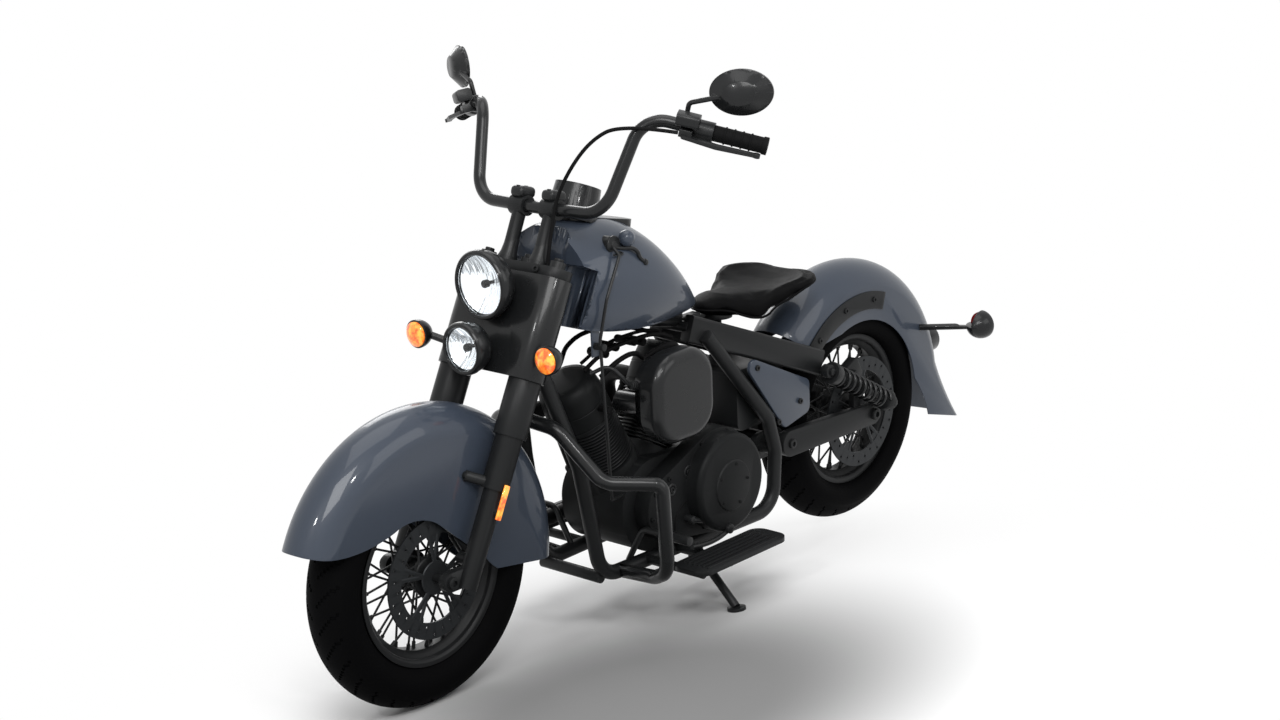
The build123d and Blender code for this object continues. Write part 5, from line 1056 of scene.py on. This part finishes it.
def coil_spring():
    """A coil of round wire with closed ends, between the spring seats."""
    bpy.ops.object.select_all(action="DESELECT")
    bpy.ops.mesh.primitive_circle_add(
        vertices=14, radius=WIRE_RADIUS, location=(COIL_RADIUS, 0, COIL_START), rotation=(radians(90), 0, 0))
    bpy.ops.object.transform_apply()
    coil = bpy.context.object
    pitch = (SHOCK_LENGTH - COIL_ROOM) / COIL_TURNS
    modified(
        coil, "SCREW", angle=2 * pi, screw_offset=pitch, iterations=COIL_TURNS, steps=36, render_steps=36)
    bpy.ops.object.mode_set(mode="EDIT")
    bpy.ops.mesh.select_all(action="SELECT")
    bpy.ops.mesh.remove_doubles(threshold=1e-5)
    bpy.ops.mesh.select_all(action="DESELECT")
    bpy.ops.mesh.select_non_manifold()
    bpy.ops.mesh.edge_face_add()
    bpy.ops.mesh.select_all(action="SELECT")
    bpy.ops.mesh.normals_make_consistent(inside=False)
    bpy.ops.object.mode_set(mode="OBJECT")
    return softened(coil, 0, angle=50)


EYE_RADIUS, EYE_HALF = 0.0185, 0.012
NUT_RADIUS, NUT_START, NUT_END = 0.0105, 0.0105, 0.0200


def shock_absorbers():
    """Both units modelled on one axis, then set between their bolts."""
    pairs = SHOCK_UPPER + [(radius, SHOCK_LENGTH - back) for radius, back in SHOCK_LOWER] + [(0, 0.010)]
    body = spun([(radius, 0, along) for radius, along in pairs], (0, 0, 0), UP, 48, True)
    coil = coil_spring()
    parts = [softened(body, 0)]
    for end in (0, SHOCK_LENGTH):
        parts.append(softened(rod((-EYE_HALF, 0, end), (EYE_HALF, 0, end), EYE_RADIUS, 32), 0.0015))
        parts.append(softened(rod((NUT_START, 0, end), (NUT_END, 0, end), NUT_RADIUS, 6), 0.0012))
    way = (SHOCK_FOOT - SHOCK_TOP).normalized()
    places = []
    for side in (1, -1):
        outwards = Vector((0, side, 0))
        turned = Matrix((outwards, way.cross(outwards), way)).transposed().to_4x4()
        places.append(Matrix.Translation((SHOCK_TOP.x, side * SHOCK_TOP.y, SHOCK_TOP.z)) @ turned)
    coils = softened(cleaned(copied(coil, places)), 0, angle=50)
    bodies = softened(cleaned(copied(joined(parts), places)), 0)
    fitted(bodies, "shock_bodies", "chassis", "frame_black", replaced=["shocks"])
    fitted(coils, "coil_springs", "chassis", "frame_black", gloss_black)


shock_absorbers()


# Saddle: wide hips with a raised rear rim, thigh cut-outs and a narrow nose
def between(x, stations):
    """A value read smoothly between stations of place and value."""
    for (x0, v0), (x1, v1) in zip(stations, stations[1:]):
        if x <= x1:
            share = min(1, max(0, (x - x0) / (x1 - x0)))
            return v0 + (v1 - v0) * share * share * (3 - 2 * share)
    return stations[-1][1]


# Heights along the saddle: its middle, its edge, how far the edge rolls down, and the pan
SADDLE_MIDDLE = (
    (0.222, 0.786), (0.262, 0.770), (0.320, 0.752), (0.400, 0.748), (0.480, 0.756), (0.570, 0.766),
    (0.604, 0.758),
)
SADDLE_EDGE = (
    (0.222, 0.792), (0.300, 0.790), (0.350, 0.779), (0.400, 0.758), (0.450, 0.733), (0.495, 0.742),
    (0.550, 0.760), (0.604, 0.760),
)
SADDLE_ROLL = (
    (0.222, 0.026), (0.300, 0.030), (0.400, 0.040), (0.450, 0.045), (0.530, 0.036), (0.604, 0.030),
)
SADDLE_BASE = ((0.222, 0.744), (0.310, 0.722), (0.413, 0.706), (0.522, 0.708), (0.604, 0.726))
SADDLE_CENTRE = Vector((0.400, 0, 0))
# The nose and the two hips as circles seen from above
SADDLE_CIRCLES = (
    (Vector((0.558, 0, 0)), 0.045), (Vector((0.312, 0.064, 0)), 0.088), (Vector((0.312, -0.064, 0)), 0.088),
)
SADDLE_RIM_POINTS = 96
# Each ring of the pad as its share of the outline and how far down it lies, from top to base
SADDLE_RINGS = (
    (0.12, 0), (0.30, 0), (0.50, 0), (0.68, 0), (0.82, 0), (0.92, 0), (0.975, 0.12), (1.0, 0.45),
    (0.985, 0.8), (0.93, 1), (0.80, 1), (0.60, 1), (0.35, 1), (0.12, 1),
)
HULL_STEPS = 720
SWELL_LIMIT = 0.006
SWELL_FRAMES = 20
PIPING_SHARE = 0.975
PIPING_RADIUS = 0.0032


def saddle_outline(count):
    """Evenly spaced points round the hull of the nose and the two hips."""
    ring = []
    for step in range(HULL_STEPS):
        turn = 2 * pi * step / HULL_STEPS
        way = Vector((cos(turn), sin(turn), 0))
        middle, radius = max(SADDLE_CIRCLES, key=lambda circle: circle[0].dot(way) + circle[1])
        ring.append(middle + way * radius)
    ring.append(ring[0])
    lengths = [(far - near).length for near, far in zip(ring, ring[1:])]
    total, points, along, leg = sum(lengths), [], 0, 0
    for step in range(count):
        while along + lengths[leg] < total * step / count:
            along += lengths[leg]
            leg += 1
        share = (total * step / count - along) / max(lengths[leg], 1e-9)
        points.append(ring[leg].lerp(ring[leg + 1], share))
    return points


def saddle_form(outline):
    """The pad's closed form, ring by ring from the top to the base."""
    widths = {}
    for spot in outline:
        key = round(spot.x, 3)
        widths[key] = max(widths.get(key, 0), abs(spot.y))
    width_line = sorted(widths.items())
    shell = bmesh.new()
    rows = []
    for share, low in SADDLE_RINGS:
        row = []
        for rim in outline:
            spot = SADDLE_CENTRE + (rim - SADDLE_CENTRE) * share
            reach = min(1, abs(spot.y) / max(between(spot.x, width_line), 0.012))
            edge = between(spot.x, SADDLE_EDGE)
            rolled = edge - between(spot.x, SADDLE_ROLL)
            top = between(spot.x, SADDLE_MIDDLE) * (1 - reach ** 2.4) + edge * reach ** 2.4
            base = between(spot.x, SADDLE_BASE) * (1 - reach ** 2) + rolled * reach ** 2
            row.append(shell.verts.new((spot.x, spot.y, top + (base - top) * low)))
        rows.append(row)
    for upper, lower in zip(rows, rows[1:]):
        for step in range(len(outline)):
            after = (step + 1) % len(outline)
            shell.faces.new((upper[step], lower[step], lower[after], upper[after]))
    shell.faces.new(rows[0])
    shell.faces.new(reversed(rows[-1]))
    bmesh.ops.recalc_face_normals(shell, faces=shell.faces)
    mesh = bpy.data.meshes.new("saddle_pad")
    shell.to_mesh(mesh)
    shell.free()
    pad = bpy.data.objects.new("saddle_pad", mesh)
    bpy.context.scene.collection.objects.link(pad)
    return pad


def saddle(outline):
    """The padded seat, remeshed and blown up a little."""
    pad = saddle_form(outline)
    modified(pad, "REMESH", mode="VOXEL", voxel_size=0.0055)
    modified(pad, "SMOOTH", factor=0.6, iterations=6)
    blown_up(pad, SWELL_LIMIT)
    modified(pad, "SUBSURF", levels=1, render_levels=1)
    only(pad)
    bpy.ops.object.shade_smooth()
    fitted(pad, "saddle_pad", "chassis", "seat_leather", replaced=["seat"])


def blown_up(pad, most):
    """Swells a pad with a short cloth run, no point going further than a cap."""
    before = [vertex.co.copy() for vertex in pad.data.vertices]
    cloth = pad.modifiers.new("cloth", "CLOTH")
    cloth.settings.use_pressure = True
    cloth.settings.uniform_pressure_force = 4.0
    cloth.settings.effector_weights.gravity = 0
    cloth.point_cache.frame_start = 1
    cloth.point_cache.frame_end = SWELL_FRAMES
    for frame_number in range(1, SWELL_FRAMES + 1):
        bpy.context.scene.frame_set(frame_number)
    only(pad)
    bpy.ops.object.modifier_apply(modifier="cloth")
    for vertex, start in zip(pad.data.vertices, before):
        moved = vertex.co - start
        if moved.length > most:
            vertex.co = start + moved.normalized() * most
    bpy.context.scene.frame_set(1)


def saddle_trim(outline):
    """Piping round the pad's lower edge."""
    points = []
    for rim in outline[::3]:
        spot = SADDLE_CENTRE + (rim - SADDLE_CENTRE) * PIPING_SHARE
        height = between(spot.x, SADDLE_EDGE) - between(spot.x, SADDLE_ROLL) * 0.93
        points.append((spot.x, spot.y, height))
    piping = only(hose(points, PIPING_RADIUS, sides=3, steps=4, looped=True))
    bpy.ops.object.shade_smooth()
    fitted(piping, "saddle_piping", "chassis", "seat_leather")


saddle_rim = saddle_outline(SADDLE_RIM_POINTS)
saddle(saddle_rim)
saddle_trim(saddle_rim)


# Hand shift: painted knob, pivot disc with its bolt, hooked trigger, and the rod's bracket under the tank
KNOB_SPOT, KNOB_RADIUS = (1.016, 0.140, 1.020), 0.0205
PIVOT_SPOT = (1.056, 0.128, 1.010)
PIVOT_OUTLINE = [
    (0, 0), (0.0215, 0), (0.0225, 0.0012), (0.0225, 0.0050), (0.0210, 0.0066), (0.0100, 0.0070),
    (0.0085, 0.0095), (0, 0.0098),
]
HOOK_ROUTE = [
    (1.050, 0.131, 1.002), (1.030, 0.138, 0.998), (1.006, 0.147, 0.994), (0.993, 0.152, 0.984),
    (0.986, 0.154, 0.968), (0.972, 0.156, 0.955),
]
HOOK_TIP = [(0, -0.004), (0.0075, -0.002), (0.0085, 0.003), (0.006, 0.008), (0, 0.0095)]
LINK_ROUTE = [(1.056, 0.139, 0.992), (1.040, 0.144, 0.989), (1.074, 0.150, 0.990)]
BRACKET_SIZE, BRACKET_SPOT = (0.030, 0.004, 0.105), (1.128, 0.127, 0.800)


def shift_details():
    """What sits on and round the shift lever."""
    bpy.ops.object.select_all(action="DESELECT")
    bpy.ops.mesh.primitive_uv_sphere_add(segments=48, ring_count=24, radius=KNOB_RADIUS, location=KNOB_SPOT)
    knob = bpy.context.object
    collar = rod((1.021, 0.132, 1.018), (1.024, 0.127, 1.0175), 0.0085, 24)
    fitted(softened(joined([knob, collar]), 0), "shift_knob", "chassis", "paint")
    pivot = [
        turned_about(PIVOT_SPOT, LEFT, PIVOT_OUTLINE, 48),
        hose(HOOK_ROUTE, 0.0052),
        turned_about(HOOK_ROUTE[-1], (-0.8, 0.1, -0.6), HOOK_TIP, 24),
        hose(LINK_ROUTE, 0.0026),
    ]
    fitted(softened(joined(pivot), 0), "shift_pivot", "chassis", "control_metal")
    plate = softened(block(BRACKET_SIZE, BRACKET_SPOT), 0.0015)
    fitted(plate, "shifter_bracket", "chassis", "paint")
    clip = softened(rod((1.131, 0.127, 0.775), (1.131, 0.160, 0.775), 0.009, 24), 0.0015)
    fitted(clip, "rod_clip", "chassis", "control_metal")


shift_details()


# Handlebar: the lever's cable and the risers' dress
CABLE_ROUTE = [
    (1.0612, 0.3536, 1.3012), (1.128, 0.240, 1.322), (1.172, 0.178, 1.284), (1.199, 0.118, 1.196),
    (1.208, 0.081, 1.108), (1.2325, 0.081, 0.9822),
]
CABLE_RADIUS = 0.0045
RISER_SIDE = 0.051
RISER_FOOT_LEVEL = 0.744
RISER_OUTLINE = [
    (0, 0.0004), (0.0238, 0.0004), (0.0240, 0.0090), (0.0228, 0.0140), (0.0200, 0.0240), (0.0182, 0.0400),
    (0.0176, 0.0560), (0, 0.0560),
]
CAP_SIZE, CAP_AHEAD, CAP_HEIGHT, CAP_TURN = (0.054, 0.042, 0.028), 1.168, 1.1405, radians(-14)


def bar_fittings():
    """The lever's cable in its arc, flared riser feet and the rounded caps over the bar."""
    sheath = hose(CABLE_ROUTE, CABLE_RADIUS, sides=4, steps=12, drawn_tight=True)
    fitted(softened(sheath, 0), "clutch_cable_sheath", "fork", slot_of["clutch_cable"], rubber_black,
           ["clutch_cable"])
    made, screws = [], []
    for side in (RISER_SIDE, -RISER_SIDE):
        made.append(turned_about(on_fork(0, side, RISER_FOOT_LEVEL), FORK_WAY, RISER_OUTLINE, 40))
        cap = softened(block(CAP_SIZE), 0.0115, 4)
        place = Matrix.Translation((CAP_AHEAD, side, CAP_HEIGHT))
        cap.data.transform(place @ Matrix.Rotation(CAP_TURN, 4, "Y"))
        made.append(cap)
        screws += [((1.1712 + shift, side, 1.1528 + shift * 0.25), (-0.25, 0, 1), 0.0048, 0.0040)
                   for shift in (-0.014, 0.012)]
    fitted(softened(joined(made), 0), "riser_dress", "fork", "control_metal")
    bolts("riser_screws", "fork", "frame_black", screws)


bar_fittings()


# Engine dressing: hoses over the heads with their clips, breather, push rods and plug caps
HEAD_HOSES = (
    ([(1.085, 0.045, 0.690), (1.040, 0.062, 0.722), (0.940, 0.066, 0.735), (0.830, 0.060, 0.728),
      (0.752, 0.040, 0.700)], 0.0055),
    ([(1.070, 0.020, 0.700), (1.020, 0.034, 0.728), (0.915, 0.040, 0.742), (0.800, 0.030, 0.726),
      (0.760, 0.012, 0.705)], 0.0045),
    ([(1.060, 0.075, 0.672), (1.005, 0.092, 0.706), (0.960, 0.096, 0.712), (0.915, 0.085, 0.690)], 0.0065),
    ([(0.760, 0.072, 0.668), (0.800, 0.090, 0.700), (0.850, 0.094, 0.704), (0.905, 0.080, 0.684)], 0.0065),
    ([(1.082, -0.040, 0.692), (1.030, -0.060, 0.726), (0.915, -0.066, 0.742), (0.815, -0.055, 0.726),
      (0.748, -0.036, 0.702)], 0.0060),
)
# Each clip across the hoses: how far ahead, its left and right ends and its height
HOSE_CLIPS = (
    (0.985, 0.030, -0.030, 0.706), (0.950, 0.034, -0.034, 0.716),
    (0.880, 0.032, -0.034, 0.714), (0.845, 0.030, -0.030, 0.706),
)
BREATHER_ROUTE = [
    (1.100, 0.078, 0.690), (1.066, 0.110, 0.702), (1.046, 0.132, 0.678), (1.024, 0.137, 0.654),
    (0.992, 0.136, 0.646),
]
BREATHER_RING = [(0.0050, 0), (0.0102, 0.0004), (0.0110, 0.0020), (0.0102, 0.0036), (0.0050, 0.0040)]


def head_hoses():
    """Hoses between the cylinders, with the clips across them."""
    made = [hose(route, radius) for route, radius in HEAD_HOSES]
    for x, left, right, z in HOSE_CLIPS:
        made.append(softened(rod((x, left, z), (x, right, z), 0.011, 20), 0.0025))
    fitted(softened(joined(made), 0, angle=50), "head_hoses", "chassis", "belt_rubber")


def breather():
    """The pipe into the air cleaner's back, with four rings on it."""
    made = [hose(BREATHER_ROUTE, 0.0052)]
    for step in range(4):
        spot = (1.022 - 0.007 * step, 0.137, 0.652 - 0.002 * step)
        made.append(turned_about(spot, (-1, 0, -0.2), BREATHER_RING, 24))
    made = softened(joined(made), 0, angle=50)
    fitted(made, "breather_pipe", "chassis", "engine_black", control_black)


ROD_RADIUS, ROD_SWING, ROD_FOOT_SIDE, ROD_HEAD_SIDE = 0.0095, 0.020, -0.104, -0.090


def push_rods():
    """Two tubes up the right of each cylinder, in their end cups."""
    made = []
    for bank in (1, -1):
        way = bank_way(bank)
        ahead = Vector((way.z, 0, -way.x))
        for swing in (-ROD_SWING, ROD_SWING):
            foot = CRANK + way * 0.098 + ahead * swing * 1.6 + Vector((0, ROD_FOOT_SIDE, 0))
            head = CRANK + way * 0.300 + ahead * swing + Vector((0, ROD_HEAD_SIDE, 0))
            made.append(rod(foot, head, ROD_RADIUS, 24))
            made.append(softened(rod(foot - way * 0.010, foot + way * 0.016, ROD_RADIUS + 0.005, 24), 0.002))
            made.append(softened(rod(head - way * 0.020, head, ROD_RADIUS + 0.004, 24), 0.002))
    fitted(softened(joined(made), 0), "push_rod_tubes", "chassis", "engine_black")


def plug_caps():
    """A hexagon and a cap on the left of each head."""
    made = []
    for bank in (1, -1):
        plug = CRANK + bank_way(bank) * 0.330 + Vector((0, 0.080, 0))
        made.append(softened(rod(plug, plug + Vector((0, 0.024, 0)), 0.0085, 6), 0.001))
        cap = rod(plug + Vector((0, 0.018, 0)), plug + Vector((0, 0.038, 0)), 0.0100, 20)
        made.append(softened(cap, 0.0025))
    fitted(softened(joined(made), 0), "plug_caps", "chassis", "belt_rubber")


head_hoses()
breather()
push_rods()
plug_caps()

CASE_SIDE = 0.1575
WELL_OUTLINE = [
    (0.0105, 0), (0.0165, 0), (0.0165, 0.0022), (0.0150, 0.0034), (0.0118, 0.0034), (0.0105, 0.0020),
]
GROOVE_ROUTE = [
    (x, CASE_SIDE + 0.001, z)
    for x, z in ((0.792, 0.325), (0.837, 0.313), (0.871, 0.299), (0.893, 0.273), (0.898, 0.238))
]
ARM_ROUTE = [(0.852, 0.178, 0.262), (0.806, 0.184, 0.247), (0.760, 0.192, 0.228), (0.742, 0.200, 0.212)]
BACK_ROUTE = [(0.742, 0.202, 0.205), (0.790, 0.204, 0.197), (0.850, 0.206, 0.199), (0.892, 0.208, 0.206)]


def case_marks():
    """The primary case's two sunk bolts, its dark groove, and the shift shaft with its arm."""
    made, heads = [], []
    for x, z in ((0.840, 0.383), (0.905, 0.353)):
        made.append(turned_about((x, CASE_SIDE, z), LEFT, WELL_OUTLINE, 40))
        heads.append(((x, CASE_SIDE, z), LEFT, 0.0078, 0.0045))
    groove = hose(GROOVE_ROUTE, 0.0024)
    made.append(softened(rod((0.852, 0.150, 0.262), (0.852, 0.184, 0.262), 0.0105, 28), 0.002))
    made.append(hose(ARM_ROUTE, 0.0075))
    made.append(softened(rod((0.742, 0.190, 0.212), (0.742, 0.214, 0.212), 0.0130, 28), 0.002))
    made.append(hose(BACK_ROUTE, 0.0065))
    fitted(softened(joined(made), 0), "shift_linkage", "chassis", "control_metal")
    fitted(softened(groove, 0), "case_groove", "chassis", "belt_rubber")
    bolts("case_bolts", "chassis", "frame_black", heads)


case_marks()

CLAMP_LEVEL = 0.762
MUDGUARD_BOLT_TURNS = (52, 76, 100)
bolts(
    "fork_bolts", "fork", "frame_black",
    [(on_fork(0, side * 0.115, CLAMP_LEVEL), FORK_WAY, 0.0115, 0.008) for side in (1, -1)]
    + [(on_fork(-0.025, 0, CLAMP_LEVEL), FORK_WAY, 0.0150, 0.010)]
    + [(on_fork(0.0385, side * 0.090, 0.732), FORK_AHEAD, 0.0088, 0.007) for side in (1, -1)]
    + [(on_fork(0.066, side * 0.0735, 0.222), (0, side, 0), 0.0095, 0.0120) for side in (1, -1)]
    + bolt_pair(WHEELBASE, 0.112, WHEEL_RADIUS, 0.0150, 0.010),
)
bolts(
    "chassis_bolts", "chassis", "frame_black",
    bolt_pair(0, 0.131, WHEEL_RADIUS, 0.0165, 0.012)
    + bolt_pair(0.378, 0.131, 0.331, 0.0130, 0.008)
    + [((x, -PANEL_SIDE, z), (0, -1, 0), 0.008, 0.006) for x, z in PANEL_BOLTS]
    + bolt_circle((0, 0.0945, WHEEL_RADIUS), 0.320, MUDGUARD_BOLT_TURNS, LEFT, 0.0085, 0.005)
    + bolt_circle((0, -0.0945, WHEEL_RADIUS), 0.320, MUDGUARD_BOLT_TURNS, (0, -1, 0), 0.0085, 0.005)
    + bolt_circle((CRANK.x, -0.1255, CRANK.z), 0.078, range(20, 380, 60), (0, -1, 0), 0.0055, 0.005),
)


# Studio: pale floor with a soft shadow painted into its colour, white surroundings, lamps and the fitted
# camera
# Where the painted shadow lies on the floor: its centre, its turn and its reach
PAINTED_SHADE_CENTRE, PAINTED_SHADE_TURN, PAINTED_SHADE_REACH = (0.745, 0.360, 0), (0, 0, -1.47), (0.613, 0.726, 1)


def floor_with_painted_shade():
    """Matt floor with a soft shadow painted into its colour in one oval, and pure white to the eye far from
    it.
    """
    material, tree, shader = new_material("floor")
    valued(shader, Roughness=1.0, Specular_IOR_Level=0.0)
    smooth = [("interpolation_type", "SMOOTHSTEP")]
    larger = [("operation", "MAXIMUM")]
    place = add_node(tree, "ShaderNodeTexCoord")
    painted_shade_oval = add_node(tree, "ShaderNodeMapping", [("vector_type", "TEXTURE")],
                    Location=PAINTED_SHADE_CENTRE, Rotation=PAINTED_SHADE_TURN, Scale=PAINTED_SHADE_REACH)
    reach = add_node(tree, "ShaderNodeVectorMath", [("operation", "LENGTH")])
    # Painted shadow: the floor's colour runs from 0.235 in the oval's middle up to 0.95 at its edge
    painted_shade_tone = add_node(
        tree, "ShaderNodeMapRange", smooth, From_Min=0.45, From_Max=1.54, To_Min=0.235, To_Max=0.95)
    gray = add_node(tree, "ShaderNodeCombineColor")
    fade = add_node(tree, "ShaderNodeMapRange", smooth, From_Min=1.15, From_Max=2.4)
    paths = add_node(tree, "ShaderNodeLightPath")
    seen = add_node(tree, "ShaderNodeMath", larger)
    clear = add_node(tree, "ShaderNodeMath", larger)
    share = add_node(tree, "ShaderNodeMath", [("operation", "MULTIPLY")])
    white = add_node(tree, "ShaderNodeEmission", Strength=1.0)
    mixed = add_node(tree, "ShaderNodeMixShader")
    linked(
        tree,
        (place.outputs["Object"], painted_shade_oval.inputs["Vector"]),
        (painted_shade_oval.outputs["Vector"], reach.inputs[0]),
        (reach.outputs["Value"], painted_shade_tone.inputs["Value"]),
        (painted_shade_tone.outputs["Result"], gray.inputs["Red"]),
        (painted_shade_tone.outputs["Result"], gray.inputs["Green"]),
        (painted_shade_tone.outputs["Result"], gray.inputs["Blue"]),
        (gray.outputs["Color"], shader.inputs["Base Color"]),
        (reach.outputs["Value"], fade.inputs["Value"]),
        (paths.outputs["Is Camera Ray"], seen.inputs[0]),
        (paths.outputs["Is Glossy Ray"], seen.inputs[1]),
        (seen.outputs[0], clear.inputs[0]),
        (paths.outputs["Is Transmission Ray"], clear.inputs[1]),
        (fade.outputs["Result"], share.inputs[0]),
        (clear.outputs[0], share.inputs[1]),
        (share.outputs[0], mixed.inputs["Fac"]),
        (shader.outputs[0], mixed.inputs[1]),
        (white.outputs[0], mixed.inputs[2]),
        (mixed.outputs[0], tree.nodes["Material Output"].inputs["Surface"]),
    )
    return material


def white_surroundings():
    """A world that is white to the eye and in reflections, and lights the rest softly."""
    world = bpy.data.worlds.new("studio")
    bpy.context.scene.world = world
    world.use_nodes = True
    tree = world.node_tree
    backdrop = valued(tree.nodes["Background"], Color=(1, 1, 1, 1))
    paths = add_node(tree, "ShaderNodeLightPath")
    seen = add_node(tree, "ShaderNodeMath", [("operation", "MAXIMUM")])
    clear = add_node(tree, "ShaderNodeMath", [("operation", "MAXIMUM")])
    strength = add_node(tree, "ShaderNodeMapRange", To_Min=0.36, To_Max=1.0)
    linked(
        tree,
        (paths.outputs["Is Camera Ray"], seen.inputs[0]),
        (paths.outputs["Is Transmission Ray"], seen.inputs[1]),
        (seen.outputs[0], clear.inputs[0]),
        (paths.outputs["Is Glossy Ray"], clear.inputs[1]),
        (clear.outputs[0], strength.inputs["Value"]),
        (strength.outputs["Result"], backdrop.inputs["Strength"]),
    )


bpy.ops.object.select_all(action="DESELECT")
bpy.ops.mesh.primitive_plane_add(size=60)
floor = bpy.context.object
floor.name = "floor"
floor.data.materials.append(floor_with_painted_shade())
white_surroundings()

for lamp_name, place, aim, size, energy in (
    ("key lamp", (3.2, 3.4, 4.2), (0, 0, 0.6), 2.6, 190),
    ("side lamp", (-1.5, 5.0, 2.6), (0, 0, 0.6), 3.0, 60),
    ("rim lamp", (-2.5, -4.0, 3.6), (0, 0, 0.6), 2.5, 90),
    ("top lamp", (0.2, 0.4, 5.2), (0, 0, 0.0), 3.5, 80),
    ("front spark", (4.6, 1.2, 3.2), (0.3, 0, 0.6), 0.32, 34),
    ("side spark", (1.6, 4.4, 3.4), (0.3, 0, 0.6), 0.32, 34),
):
    bpy.ops.object.light_add(type="AREA", location=place)
    lamp = bpy.context.object
    lamp.name = lamp_name
    lamp.data.size = size
    lamp.data.energy = energy
    lamp.rotation_mode = "QUATERNION"
    lamp.rotation_quaternion = (Vector(aim) - Vector(place)).to_track_quat("-Z", "Y")

# The camera's focal length in pixels of the photograph, its place by the upright machine, its sight and roll
FOCAL_PIXELS, PHOTO_WIDTH, SENSOR_WIDTH = 2228.75, 1280, 36
CAMERA_PLACE = (4.8960, 3.6745, 2.1684)
CAMERA_SIGHT = (-0.71498, -0.64616, -0.26698)
CAMERA_ROLL = radians(-2.247)

bpy.ops.object.camera_add()
camera = bpy.context.object
camera.data.sensor_width = SENSOR_WIDTH
camera.data.lens = FOCAL_PIXELS / PHOTO_WIDTH * SENSOR_WIDTH
sight = Vector(CAMERA_SIGHT).normalized()
level = sight.cross(Vector(UP)).normalized()
upward = level.cross(sight)
across = level * cos(CAMERA_ROLL) + upward * sin(CAMERA_ROLL)
upward = upward * cos(CAMERA_ROLL) - level * sin(CAMERA_ROLL)
aimed = Matrix((across, upward, -sight)).transposed().to_4x4()
camera.matrix_world = PARK @ Matrix.Translation(CAMERA_PLACE) @ aimed
camera.data.clip_end = 60
bpy.context.scene.camera = camera
bpy.context.scene.view_settings.view_transform = "Standard"

bpy.context.view_layer.update()
